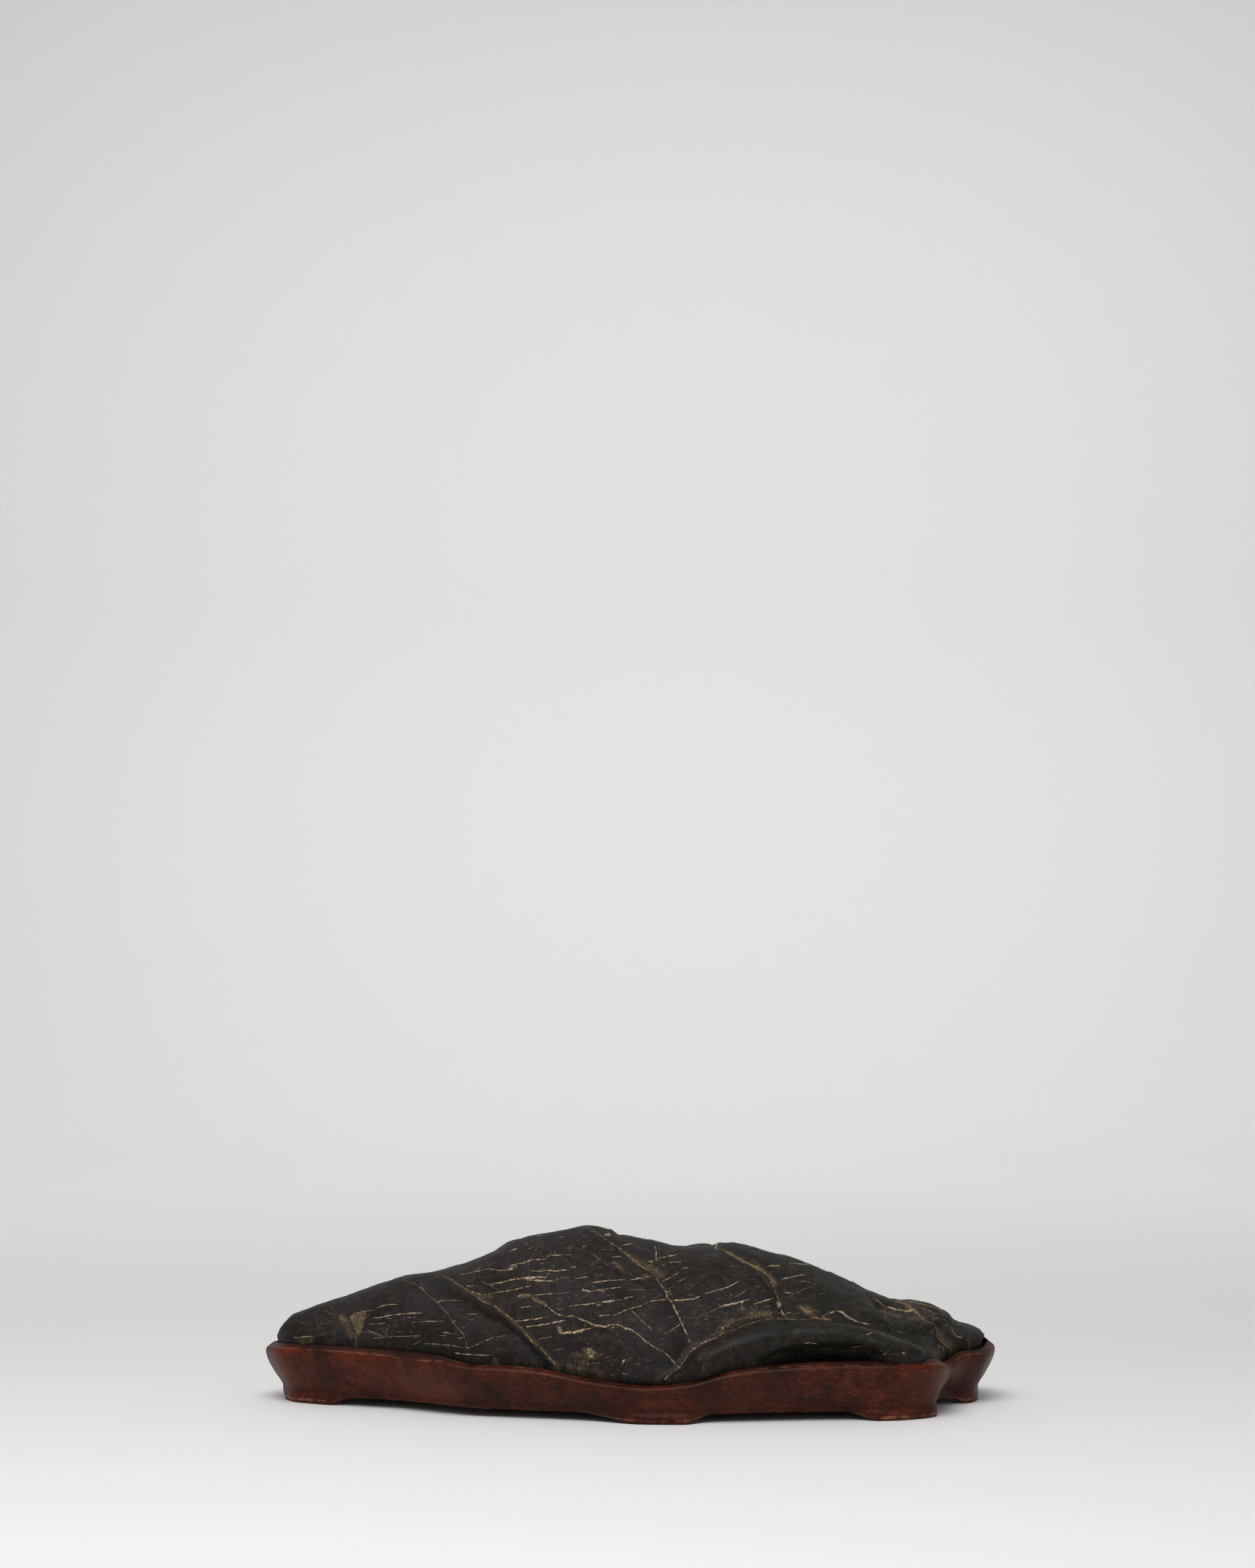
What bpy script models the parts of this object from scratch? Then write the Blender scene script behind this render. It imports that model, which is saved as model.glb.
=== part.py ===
"""Scholar's rock: a long, low mountain of black limestone that rests in a carved hardwood stand.

Two solids: the stone, one natural piece, and the stand, carved from one block of wood with its
rim, its lobed feet and a seat that is cut to the stone's own underside.

Row frame: X runs along the mountain, -Y is its front, +Z is up, and the origin is on the surface
that the feet stand on, under the middle of the stand. Dimensions are in millimetres.
"""

import math

import bmesh
import bpy
import numpy as np
from mathutils import Vector, noise

MM = 0.001

# ---------------------------------------------------------------------------------------------
# The stone's edge, where it meets the rim of the stand: (x, y, height of the rim).
# Both lines run from the left tip to the right tip.
# ---------------------------------------------------------------------------------------------
FRONT_EDGE = [
    (-185, 30, 29.5),  # left tip
    (-177, 12, 31.0),
    (-163, 3, 31.5),
    (-138, -8, 31.5),
    (-119, -16, 31.0),
    (-102, -28, 31.0),
    (-92, -35, 30.0),  # the rim steps down where the left shoulder ends
    (-82, -40, 27.5),
    (-61, -46, 27.5),
    (-45, -50, 26.5),
    (-31, -53, 24.0),
    (-15, -57, 21.5),
    (8, -61, 19.5),  # lowest stretch of rim, over the front middle foot
    (27, -62, 21.0),
    (50, -61, 27.0),
    (83, -57, 30.0),
    (114, -54, 30.5),
    (138, -50, 30.5),
    (152, -40, 29.5),
    (158, -23, 26.0),
    (160, -9, 24.5),  # the notch between the two right-hand lobes
    (168, 2, 28.0),
    (179, 12, 28.0),
    (185, 28, 30.5),  # right tip
]
BACK_EDGE = [
    (-185, 30, 29.5),
    (-178, 43, 30.0),
    (-160, 52, 30.5),
    (-135, 58, 29.0),
    (-100, 63, 26.5),
    (-62, 61, 26.0),
    (-22, 58, 28.5),
    (18, 63, 29.5),
    (60, 62, 27.0),
    (98, 56, 26.5),
    (138, 60, 29.5),
    (167, 56, 32.0),
    (181, 44, 32.5),
    (185, 28, 30.5),
]

# The crest of the mountain: (x, y, z).
CREST = [
    (-185, 30, 32.5),
    (-182, 28, 37.5),
    (-178, 26, 42.0),
    (-167, 23, 47.8),
    (-157, 22, 51.2),
    (-136, 19, 59.0),
    (-115, 15, 65.5),
    (-98, 12, 68.5),  # left shoulder
    (-88, 10, 71.0),
    (-70, 6, 79.0),
    (-56, 3, 86.5),
    (-42, 1, 89.5),
    (-29, 0, 91.7),
    (-20, -1, 93.0),  # summit
    (-12, -1, 91.4),
    (-8.2, -1, 90.2),  # a small step
    (-6.6, -1, 88.4),
    (-3, -1, 87.9),
    (8, 0, 86.0),
    (23, 2, 82.5),
    (36, 4, 81.6),
    (42, 5, 81.3),
    (46, 5, 80.4),
    (48.4, 5, 82.6),
    (52, 5, 83.4),  # second summit
    (57, 5, 82.9),
    (66, 6, 80.6),
    (87, 8, 74.5),
    (110, 12, 65.0),
    (126, 16, 56.5),
    (140, 19, 52.3),
    (148, 20, 52.2),
    (155, 21, 50.4),
    (161.5, 23, 46.9),
    (165.5, 24, 43.9),
    (168, 25, 40.6),
    (170, 25, 39.3),
    (177, 27, 37.2),
    (182, 28, 35.0),
    (185, 28, 33.6),
]

# How full the slopes are, as the power of the section's curve: 1 straight, 2 round, 3 square.
FRONT_FULLNESS = [
    (-184, 2.3),
    (-130, 2.3),
    (-70, 1.9),
    (0, 1.9),
    (50, 1.75),
    (110, 1.8),
    (150, 2.2),
    (185, 2.2),
]
BACK_FULLNESS = [
    (-184, 2.2),
    (-110, 2.0),
    (-40, 2.2),
    (30, 1.9),
    (90, 2.1),
    (150, 2.3),
    (185, 2.2),
]
UNDERSIDE_FULLNESS = 4.5
WIDEST_ABOVE_RIM = 3.0
STONE_BASE_Z = 12.0
TIP_SHARE = 6.0  # how soon the underside reaches its full depth behind each tip

# ---------------------------------------------------------------------------------------------
# The stone's relief, as lines drawn on its front and back elevations: (x, z).
# ---------------------------------------------------------------------------------------------
SHOULDER_VALLEY = [
    (-103, 65),
    (-88, 59),
    (-77, 53),
    (-66, 48),
    (-57, 41.5),
    (-50, 35),
    (-42, 28),
    (-37, 23),
]
SUMMIT_VALLEY = [(-21, 93), (-7, 83), (6, 75), (16, 66), (23, 56), (28, 43), (27, 28)]
SUMMIT_LEDGE = [(-28, 82), (-18, 79), (-11, 74), (1, 70), (16, 65)]
SADDLE_VALLEY = [(47, 82), (61, 75), (69, 69), (75, 62), (80, 51)]
SADDLE_RIDGE = [(40, 79), (52, 75), (61, 70), (68, 62), (74, 53)]
ROLL_TOP = [
    (25, 25),
    (31, 36),
    (41, 41),
    (52, 46),
    (62, 49),
    (84, 50),
    (111, 48),
    (136, 44),
    (151, 35),
    (157, 28),
]
ROLL_CREST = [(36, 31), (51, 37), (61, 40), (76, 42), (92, 43), (110, 42), (125, 38), (142, 32)]
ROLL_LIP = [
    (56, 27),
    (63, 32),
    (72, 36),
    (84, 38.5),
    (98, 39),
    (112, 38.5),
    (124, 36.5),
    (134, 33),
    (141, 29),
]
CENTRE_BELLY = [(-30, 44), (-8, 38), (12, 32)]
TIP_GROOVE = [(-170, 46), (-158, 46), (-150, 42), (-144, 31)]
END_VALLEY = [(118, 62), (128, 55), (139, 50), (149, 46), (157, 39), (162, 30)]
BACK_VALLEY_LEFT = [(-120, 68), (-104, 56), (-92, 42), (-86, 26)]
BACK_VALLEY_MIDDLE = [(-30, 94), (-22, 78), (-4, 62), (4, 44), (2, 26)]
BACK_VALLEY_RIGHT = [(100, 72), (92, 58), (98, 44), (112, 26)]
BACK_ROLL_LEFT = [(-62, 74), (-54, 58), (-40, 42), (-34, 28)]
BACK_ROLL_RIGHT = [(40, 78), (48, 60), (52, 44), (50, 28)]
BACK_LEDGE = [(-12, 38), (24, 44), (66, 42), (96, 34)]

# Creases are sharp along the line, as where two rolls of stone meet: the line, the width on its
# left and on its right going along it, and how far it rises (+) or sinks (-).
FRONT_CREASES = [
    (SHOULDER_VALLEY, (4.5, 7.0), -4.6),
    (SUMMIT_VALLEY, (3.0, 5.0), -1.6),
    (SADDLE_VALLEY, (3.5, 6.0), -3.6),
    (ROLL_TOP, (6.0, 3.0), -4.4),
    (TIP_GROOVE, (6.0, 6.0), -1.8),
    (END_VALLEY, (4.0, 4.0), -2.0),
]
BACK_CREASES = [
    (BACK_VALLEY_LEFT, (9.0, 9.0), -5.0),
    (BACK_VALLEY_MIDDLE, (9.0, 9.0), -5.5),
    (BACK_VALLEY_RIGHT, (8.0, 8.0), -4.5),
    (BACK_LEDGE, (5.0, 5.0), -2.0),
]
# Swells are rounded: the line, the width and the rise.
FRONT_SWELLS = [
    (SUMMIT_LEDGE, 5.0, 1.6),
    (SADDLE_RIDGE, 4.5, 1.8),
    (ROLL_CREST, 8.0, 6.8),
    (CENTRE_BELLY, 20.0, 5.0),
]
BACK_SWELLS = [
    (BACK_ROLL_LEFT, 13.0, 4.0),
    (BACK_ROLL_RIGHT, 14.0, 4.5),
]
ROLL_UNDERCUT = 5.6  # depth of the hollow that is weathered out under the roll's lip
UNDERCUT_START = (-4.0, 4.5)  # where it starts and is at its deepest, below the lip
UNDERCUT_END = (7.0, 14.0)  # where it starts to fade and where it ends
WAVES = [(26.0, 0.9), (11.0, 0.45)]  # size and depth of the weathered unevenness

# ---------------------------------------------------------------------------------------------
# The stand. Offsets are measured in plan from the stone's edge, outwards positive.
# ---------------------------------------------------------------------------------------------
SEAT_CLEARANCE = 0.45
RIM_INNER = 1.2
RIM_SHOULDER = 4.4
BEVEL_DROP = 2.4
NECK_Z = 7.0
NECK_FILL = 2.6  # how much shallower the neck is over a foot
NECK_FILL_HEIGHT = 0.45
UNDERSIDE_Z = 4.0
FULL_LEAN_HEIGHT = 24.0
# The wall from under the shoulder to the neck: (share of the height above the neck, offset).
WALL = [
    (0.96, 5.1),
    (0.87, 5.3),
    (0.74, 4.8),
    (0.58, 3.4),
    (0.40, 1.0),
    (0.23, -1.7),
    (0.09, -4.1),
    (0.00, -5.0),
]
# Below the neck, between feet and at a foot: (offset from the neck, z).
PLAIN_EDGE = [
    (-0.2, 5.8),
    (-0.6, 5.0),
    (-1.3, 4.4),
    (-3.0, UNDERSIDE_Z),
    (-6.0, UNDERSIDE_Z),
    (-9.0, UNDERSIDE_Z),
]
FOOT_EDGE = [
    (1.4, 5.7),
    (3.2, 4.3),
    (3.7, 2.5),
    (2.6, 0.0),
    (-6.0, 0.0),
    (-9.0, UNDERSIDE_Z),
]
# Feet: (x, y) of the stretch of edge above each, half its flat length, the lengths over which it
# fades into the edge before and after, going anticlockwise seen from above, and its flare.
FEET = [
    ((-169, 6), 12.0, 16.0, 16.0, 0.45),  # left tip
    ((17, -61), 9.0, 36.0, 17.0, 1.00),  # front middle
    ((140, -50), 13.0, 20.0, 15.0, 0.90),  # front right
    ((180, 16), 9.0, 12.0, 14.0, 0.35),  # right tip
    ((98, 57), 12.0, 18.0, 18.0, 0.80),  # back right
    ((-8, 59), 12.0, 18.0, 18.0, 0.80),  # back middle
    ((-116, 61), 12.0, 18.0, 18.0, 0.80),  # back left
]

# Segments of the stone's section: front slope, back slope, underside. Then those along its length.
FRONT_SEGMENTS = 17
BACK_SEGMENTS = 11
UNDER_SEGMENTS = 8
LENGTH_SEGMENTS = 72
STAND_SEGMENTS = 96


def smooth_line(points, share):
    """The smooth curve through points, at the given shares of its length."""
    points = np.array(points, float)
    chords = np.linalg.norm(np.diff(points, axis=0), axis=1)
    length = np.concatenate([[0.0], np.cumsum(chords)])
    return hermite(length, points, np.clip(share, 0.0, 1.0) * length[-1])


def smooth_value(table, at):
    """The smooth function through the rows of table, whose first column is the argument."""
    table = np.array(table, float)
    return hermite(table[:, 0], table[:, 1:], np.clip(at, table[0, 0], table[-1, 0]))


def hermite(knots, values, at):
    slopes = np.gradient(values, knots, axis=0)
    i = np.clip(np.searchsorted(knots, at) - 1, 0, len(knots) - 2)
    step = (knots[i + 1] - knots[i])[..., None]
    t = (at - knots[i])[..., None] / step
    near = (1 + 2 * t) * (1 - t) ** 2 * values[i] + t * (1 - t) ** 2 * step * slopes[i]
    far = t * t * (3 - 2 * t) * values[i + 1] - t * t * (1 - t) * step * slopes[i + 1]
    return near + far


def fade(value, low, high):
    """0 below low, 1 above high, and smooth between."""
    t = np.clip((value - low) / (high - low), 0.0, 1.0)
    return t * t * (3 - 2 * t)


def near_line(points, line):
    """For 2D points: the distance to the smooth line, the same with a sign that is plus on its
    left, and the share along it of the nearest place."""
    samples = smooth_line(line, np.linspace(0, 1, 61))
    offsets = points[:, None] - samples[None]
    gaps = np.linalg.norm(offsets, axis=2)
    nearest = gaps.argmin(axis=1)
    gap = gaps.min(axis=1)
    offset = offsets[np.arange(len(points)), nearest]
    way = np.gradient(samples, axis=0)[nearest]
    left = np.sign(way[:, 0] * offset[:, 1] - way[:, 1] * offset[:, 0])
    return gap, left * gap, nearest / 60


def undercut(xz):
    _, side, along = near_line(xz, ROLL_LIP)
    below = fade(-side, *UNDERCUT_START) * (1 - fade(-side, *UNDERCUT_END))
    return ROLL_UNDERCUT * below * fade(along, 0, 0.4) * fade(1 - along, 0, 0.4)


def relief(xz, creases, swells):
    """How far the body's surface is pushed out at each point of its elevation."""
    total = np.zeros(len(xz))
    for line, (left, right), rise in creases:
        gap, side, along = near_line(xz, line)
        ends = 0.35 + 0.65 * fade(along, 0, 0.12) * fade(1 - along, 0, 0.12)
        total += rise * ends * np.exp(-gap / np.where(side > 0, left, right))
    for line, width, rise in swells:
        gap, _, _ = near_line(xz, line)
        total += rise * np.exp(-((gap / width) ** 2))
    return total


def stone_body(share, turn):
    """Points of the plain mountain: share runs from tip to tip, turn goes round the section,
    0 at the front edge, a quarter at the crest, a half at the back edge."""
    front = smooth_line(FRONT_EDGE, share)
    back = smooth_line(BACK_EDGE, share)
    middle = (front + back) / 2
    crest = smooth_value(CREST, middle[:, 0])
    across = np.clip((crest[:, 0] - front[:, 1]) / np.maximum(back[:, 1] - front[:, 1], 1e-6), 0.2, 0.8)
    spine = front[:, :2] + (back - front)[:, :2] * across[:, None]
    top = smooth_value(CREST, spine[:, 0])[:, 1]
    in_front = np.cos(turn) >= 0
    above = np.sin(turn) >= 0
    edge = np.where(in_front[:, None], front, back)
    front_fullness = smooth_value(FRONT_FULLNESS, spine[:, 0])[:, 0]
    back_fullness = smooth_value(BACK_FULLNESS, spine[:, 0])[:, 0]
    fullness = np.where(in_front, front_fullness, back_fullness)
    power = 2 / np.where(above, fullness, UNDERSIDE_FULLNESS)
    out = np.abs(np.cos(turn)) ** power
    up = np.abs(np.sin(turn)) ** power
    widest = edge[:, 2] + WIDEST_ABOVE_RIM
    depth = (widest - STONE_BASE_Z) * np.sqrt(np.clip(TIP_SHARE * np.sin(math.pi * share), 0, 1))
    z = widest + np.where(above, (top - widest) * up, -depth * up)
    xy = spine + (edge[:, :2] - spine) * out[:, None]
    return np.column_stack([xy, z]), z - edge[:, 2]


def face_outwards(bm):
    if bm.calc_volume(signed=True) < 0:
        bmesh.ops.reverse_faces(bm, faces=bm.faces)
    bm.normal_update()


def stone_mesh(swell=0.0):
    """The stone as a bmesh, pushed out by swell. It starts as a sphere with its poles at the tips."""
    bm = bmesh.new()
    around = FRONT_SEGMENTS + BACK_SEGMENTS + UNDER_SEGMENTS
    bmesh.ops.create_uvsphere(bm, u_segments=around, v_segments=LENGTH_SEGMENTS, radius=1.0)
    at = np.array([v.co for v in bm.verts])
    share = np.arccos(np.clip(at[:, 2], -1, 1)) / math.pi
    lap = np.arctan2(at[:, 1], at[:, 0]) % (2 * math.pi) / (2 * math.pi) % 0.99999
    marks = np.cumsum([0, FRONT_SEGMENTS, BACK_SEGMENTS, UNDER_SEGMENTS]) / around
    turn = np.interp(lap, marks, [0, math.pi / 2, math.pi, 2 * math.pi])
    body, above_rim = stone_body(share, turn)
    for vert, point in zip(bm.verts, body):
        vert.co = Vector(point)
    face_outwards(bm)
    normals = np.array([v.normal for v in bm.verts])
    to_front = fade(np.cos(turn), -0.12, 0.12)
    xz = body[:, [0, 2]]
    rise = to_front * (relief(xz, FRONT_CREASES, FRONT_SWELLS) - undercut(xz))
    rise += (1 - to_front) * relief(xz, BACK_CREASES, BACK_SWELLS)
    rise *= fade(above_rim, -0.5, 2.5) * (1 - fade(np.sin(turn), 0.9, 0.99))
    rise *= fade(share, 0, 0.04) * fade(1 - share, 0, 0.04)
    for vert, point, normal, lift in zip(bm.verts, body, normals, rise):
        for size, depth in WAVES:
            lift += depth * noise.noise(Vector(point) / size)
        vert.co = Vector(point + normal * lift)
    bm.normal_update()
    bmesh.ops.triangulate(bm, faces=bm.faces, quad_method="FIXED")
    for vert in bm.verts:
        vert.co += vert.normal * (swell * vert.calc_shell_factor())
    return bm


def as_object(name, bm, material):
    """A new object in metres, in the part's collection, from a bmesh in millimetres."""
    bmesh.ops.scale(bm, vec=(MM, MM, MM), verts=bm.verts)
    mesh = bpy.data.meshes.new(name)
    bm.to_mesh(mesh)
    bm.free()
    mesh.shade_smooth()
    mesh.set_sharp_from_angle(angle=math.radians(50))
    mesh.materials.append(material)
    return bpy.data.objects.new(name, mesh)


def finish_material(name, colour, roughness):
    material = bpy.data.materials.new(name)
    material.use_nodes = True
    shader = material.node_tree.nodes["Principled BSDF"]
    shader.inputs["Base Color"].default_value = (*colour, 1.0)
    shader.inputs["Roughness"].default_value = roughness
    shader.inputs["Metallic"].default_value = 0.0
    return material


def stand_edge():
    """The stone's edge as a closed loop, with its plan normals and points inside to shrink to."""
    half = STAND_SEGMENTS // 2
    share = np.linspace(0, 1, half + 1)
    front = smooth_line(FRONT_EDGE, share)
    back = smooth_line(BACK_EDGE, share)
    loop = np.concatenate([front[:-1], back[:0:-1]])
    inner_share = np.clip(share, 0.06, 0.94)
    spine = (smooth_line(FRONT_EDGE, inner_share) + smooth_line(BACK_EDGE, inner_share)) / 2
    inside = np.concatenate([spine[:-1], spine[:0:-1]])[:, :2]
    along = np.roll(loop[:, :2], -1, axis=0) - np.roll(loop[:, :2], 1, axis=0)
    normals = np.column_stack([along[:, 1], -along[:, 0]])
    normals /= np.linalg.norm(normals, axis=1)[:, None]
    return loop, normals, inside


def foot_weight(loop):
    """For each place on the loop, 1 over a foot and 0 between feet, and that foot's flare."""
    steps = np.linalg.norm(np.roll(loop[:, :2], -1, axis=0) - loop[:, :2], axis=1)
    along = np.concatenate([[0.0], np.cumsum(steps)[:-1]])
    lap = steps.sum()
    weight = np.zeros(len(loop))
    flare = np.zeros(len(loop))
    for place, half_length, before, after, spread in FEET:
        centre = along[np.linalg.norm(loop[:, :2] - np.array(place), axis=1).argmin()]
        gap = (along - centre + lap / 2) % lap - lap / 2
        here = 1 - fade(-gap, half_length, half_length + before)
        here -= fade(gap, half_length, half_length + after)
        weight = np.maximum(weight, here)
        flare = np.maximum(flare, here * spread)
    return weight, flare


def ring_points(loop, directions, offset, z):
    xy = loop[:, :2] + directions * np.reshape(offset, (-1, 1))
    return np.column_stack([xy, np.broadcast_to(z, len(loop))])


def stand_rings():
    """Closed rings of points from inside the seat, over the rim, down the wall and under the feet."""
    loop, out, inside = stand_edge()
    rim = loop[:, 2]
    shoulder = rim - BEVEL_DROP
    lean = np.clip((rim - NECK_Z) / FULL_LEAN_HEIGHT, 0.6, 1.0)
    weight, flare = foot_weight(loop)
    rings = [
        ring_points(loop, out, -5.0, rim - 2.0),
        ring_points(loop, out, RIM_INNER, rim),
        ring_points(loop, out, RIM_SHOULDER, shoulder),
    ]
    widest = max(offset for _, offset in WALL)
    for share, offset in WALL:
        fill = NECK_FILL * flare * fade(NECK_FILL_HEIGHT - share, 0.0, NECK_FILL_HEIGHT)
        drawn = widest + (offset - widest) * lean + fill
        rings.append(ring_points(loop, out, drawn, NECK_Z + (shoulder - NECK_Z) * share))
    neck = rings[-1][:, :2]
    inwards = inside - neck
    inwards /= np.linalg.norm(inwards, axis=1)[:, None]
    for (plain_offset, plain_z), (foot_offset, foot_z) in zip(PLAIN_EDGE, FOOT_EDGE):
        outward = np.where(foot_offset > 0, foot_offset * flare, foot_offset * weight)
        offset = plain_offset * (1 - weight) + outward
        z = plain_z + (foot_z - plain_z) * weight
        direction = np.where(np.reshape(offset, (-1, 1)) > 0, out, -inwards)
        rings.append(np.column_stack([neck + direction * np.reshape(offset, (-1, 1)), z]))
    return rings


def stand_mesh():
    """The stand's block: a circle of edges, extruded ring by ring over the rim and under the feet."""
    rings = stand_rings()
    bm = bmesh.new()
    made = bmesh.ops.create_circle(bm, segments=STAND_SEGMENTS, radius=1.0, cap_ends=True)
    verts = made["verts"]
    for vert, point in zip(verts, rings[0]):
        vert.co = Vector(point)
    edges = list(bm.edges)
    for ring in rings[1:]:
        lower = {}
        grown = bmesh.ops.extrude_edge_only(bm, edges=edges)["geom"]
        new_verts = [g for g in grown if isinstance(g, bmesh.types.BMVert)]
        new_edges = [g for g in grown if isinstance(g, bmesh.types.BMEdge)]
        for vert in new_verts:
            partner = next(e.other_vert(vert) for e in vert.link_edges if e.other_vert(vert) in verts)
            lower[verts.index(partner)] = vert
        verts = [lower[i] for i in range(STAND_SEGMENTS)]
        for vert, point in zip(verts, ring):
            vert.co = Vector(point)
        edges = [e for e in new_edges if e.verts[0] in verts and e.verts[1] in verts]
    bmesh.ops.contextual_create(bm, geom=edges)
    bmesh.ops.recalc_face_normals(bm, faces=bm.faces)
    face_outwards(bm)
    return bm


def clear_scene():
    for old in list(bpy.data.objects):
        bpy.data.objects.remove(old)


def main():
    clear_scene()
    part = bpy.data.collections.new("scholars_rock")
    cutters = bpy.data.collections.new("cutters")
    bpy.context.scene.collection.children.link(part)
    bpy.context.scene.collection.children.link(cutters)

    limestone = finish_material("black limestone", (0.021, 0.018, 0.017), 0.5)
    hardwood = finish_material("dark stained hardwood", (0.065, 0.018, 0.011), 0.35)

    stone = as_object("stone", stone_mesh(), limestone)
    part.objects.link(stone)

    seat = as_object("seat_cutter", stone_mesh(swell=SEAT_CLEARANCE), limestone)
    seat.hide_render = True
    seat.display_type = "WIRE"
    cutters.objects.link(seat)

    stand = as_object("stand", stand_mesh(), hardwood)
    part.objects.link(stand)
    cut = stand.modifiers.new("cut the seat", "BOOLEAN")
    cut.operation = "DIFFERENCE"
    cut.object = seat


main()
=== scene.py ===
# %% [markdown]
# # A scholar's rock on its stand
#
# The object is a long, low mountain of water-worn black limestone, crossed by pale calcite veins,
# resting in a stand that was carved from one block of dark hardwood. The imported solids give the
# two forms at their real size. This script dresses them: it remakes each form finely enough to
# carry its carving, cracks and veins, and gives each its finish.

# %% Load the frame that everything is built around
import math
import random

import bmesh
import bpy
import numpy as np
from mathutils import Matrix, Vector, noise


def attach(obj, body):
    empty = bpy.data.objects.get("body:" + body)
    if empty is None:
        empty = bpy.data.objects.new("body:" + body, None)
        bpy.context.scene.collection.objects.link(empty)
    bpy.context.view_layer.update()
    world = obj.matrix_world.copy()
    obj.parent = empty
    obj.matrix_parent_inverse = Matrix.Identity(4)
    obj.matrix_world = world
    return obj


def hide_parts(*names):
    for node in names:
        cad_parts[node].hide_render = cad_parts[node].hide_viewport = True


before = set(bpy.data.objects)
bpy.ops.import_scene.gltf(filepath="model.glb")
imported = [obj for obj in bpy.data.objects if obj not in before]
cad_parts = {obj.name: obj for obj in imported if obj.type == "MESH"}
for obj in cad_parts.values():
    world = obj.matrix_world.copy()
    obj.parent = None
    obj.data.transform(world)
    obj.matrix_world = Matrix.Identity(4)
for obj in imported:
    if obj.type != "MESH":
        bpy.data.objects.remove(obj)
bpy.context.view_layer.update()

MM = 0.001

# %% [markdown]
# ## Small helpers
#
# A smooth line through a few named points could be a Bezier curve object. Here the points are
# needed as numbers, for lofts and for distances, so a cubic Hermite curve is worked out with
# numpy. `fade` is the smooth step that blends one form into the next.


# %% Smooth lines and fades
def hermite(knots, values, at):
    slopes = np.gradient(values, knots, axis=0)
    i = np.clip(np.searchsorted(knots, at) - 1, 0, len(knots) - 2)
    step = (knots[i + 1] - knots[i])[..., None]
    t = (at - knots[i])[..., None] / step
    near = (1 + 2 * t) * (1 - t) ** 2 * values[i] + t * (1 - t) ** 2 * step * slopes[i]
    far = t * t * (3 - 2 * t) * values[i + 1] - t * t * (1 - t) * step * slopes[i + 1]
    return near + far


def smooth_line(points, share):
    """The smooth curve through points, at the given shares of its length."""
    points = np.array(points, float)
    chords = np.linalg.norm(np.diff(points, axis=0), axis=1)
    length = np.concatenate([[0.0], np.cumsum(chords)])
    return hermite(length, points, np.clip(share, 0.0, 1.0) * length[-1])


def smooth_value(table, at):
    """The smooth function through the rows of table, whose first column is the argument."""
    table = np.array(table, float)
    return hermite(table[:, 0], table[:, 1:], np.clip(at, table[0, 0], table[-1, 0]))


def fade(value, low, high):
    t = np.clip((value - low) / (high - low), 0.0, 1.0)
    return t * t * (3 - 2 * t)


def noise_at(points, size, seed=0.0):
    """Smooth noise from -1 to 1 at each point, with lumps of the given size."""
    shift = Vector((seed, 1.7 * seed, -2.3 * seed))
    return np.array([noise.noise(Vector(p) / size + shift) for p in points])


print("a fade half way:", fade(0.5, 0, 1))

# %% [markdown]
# ## Camera
#
# The camera stands level, a little over two metres in front and 321 mm above the table, with a
# long lens. It could be tilted down at the object, but then its uprights would lean. A level
# camera keeps them upright, and the object sits low in the frame without any lens shift.

# %% Camera
EYE = np.array([-1.4, -2246.0, 320.8])  # mm
LENS = 100.0
SENSOR = 36.0  # along the frame's long side

camera_data = bpy.data.cameras.new("catalogue camera")
camera_data.lens = LENS
camera_data.sensor_width = SENSOR
camera_data.clip_start = 0.05
camera_data.clip_end = 50.0
camera = bpy.data.objects.new("catalogue camera", camera_data)
camera.location = Vector(EYE * MM)
camera.rotation_euler = (math.radians(90), 0.0, 0.0)
bpy.context.scene.collection.objects.link(camera)
bpy.context.scene.camera = camera
print("camera at", tuple(round(c, 3) for c in camera.location))

# %% [markdown]
# ## Floor and backdrop
#
# The object stands on a seamless sweep: pale paper that runs back along the table and curves up
# into the wall, so that no horizon line shows. A curve with a bevel could make it. Here a strip's
# edge is extruded step by step along the sweep, which leaves one clean sheet.

# %% The paper sweep
SWEEP_FRONT = -6.0  # m, towards the camera and past it
SWEEP_BACK = 1.45  # where the floor starts to rise, far enough for a camera behind the object
SWEEP_RADIUS = 0.5
SWEEP_TOP = 3.0
SWEEP_HALF_WIDTH = 6.0
BEND_STEPS = 24


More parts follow.
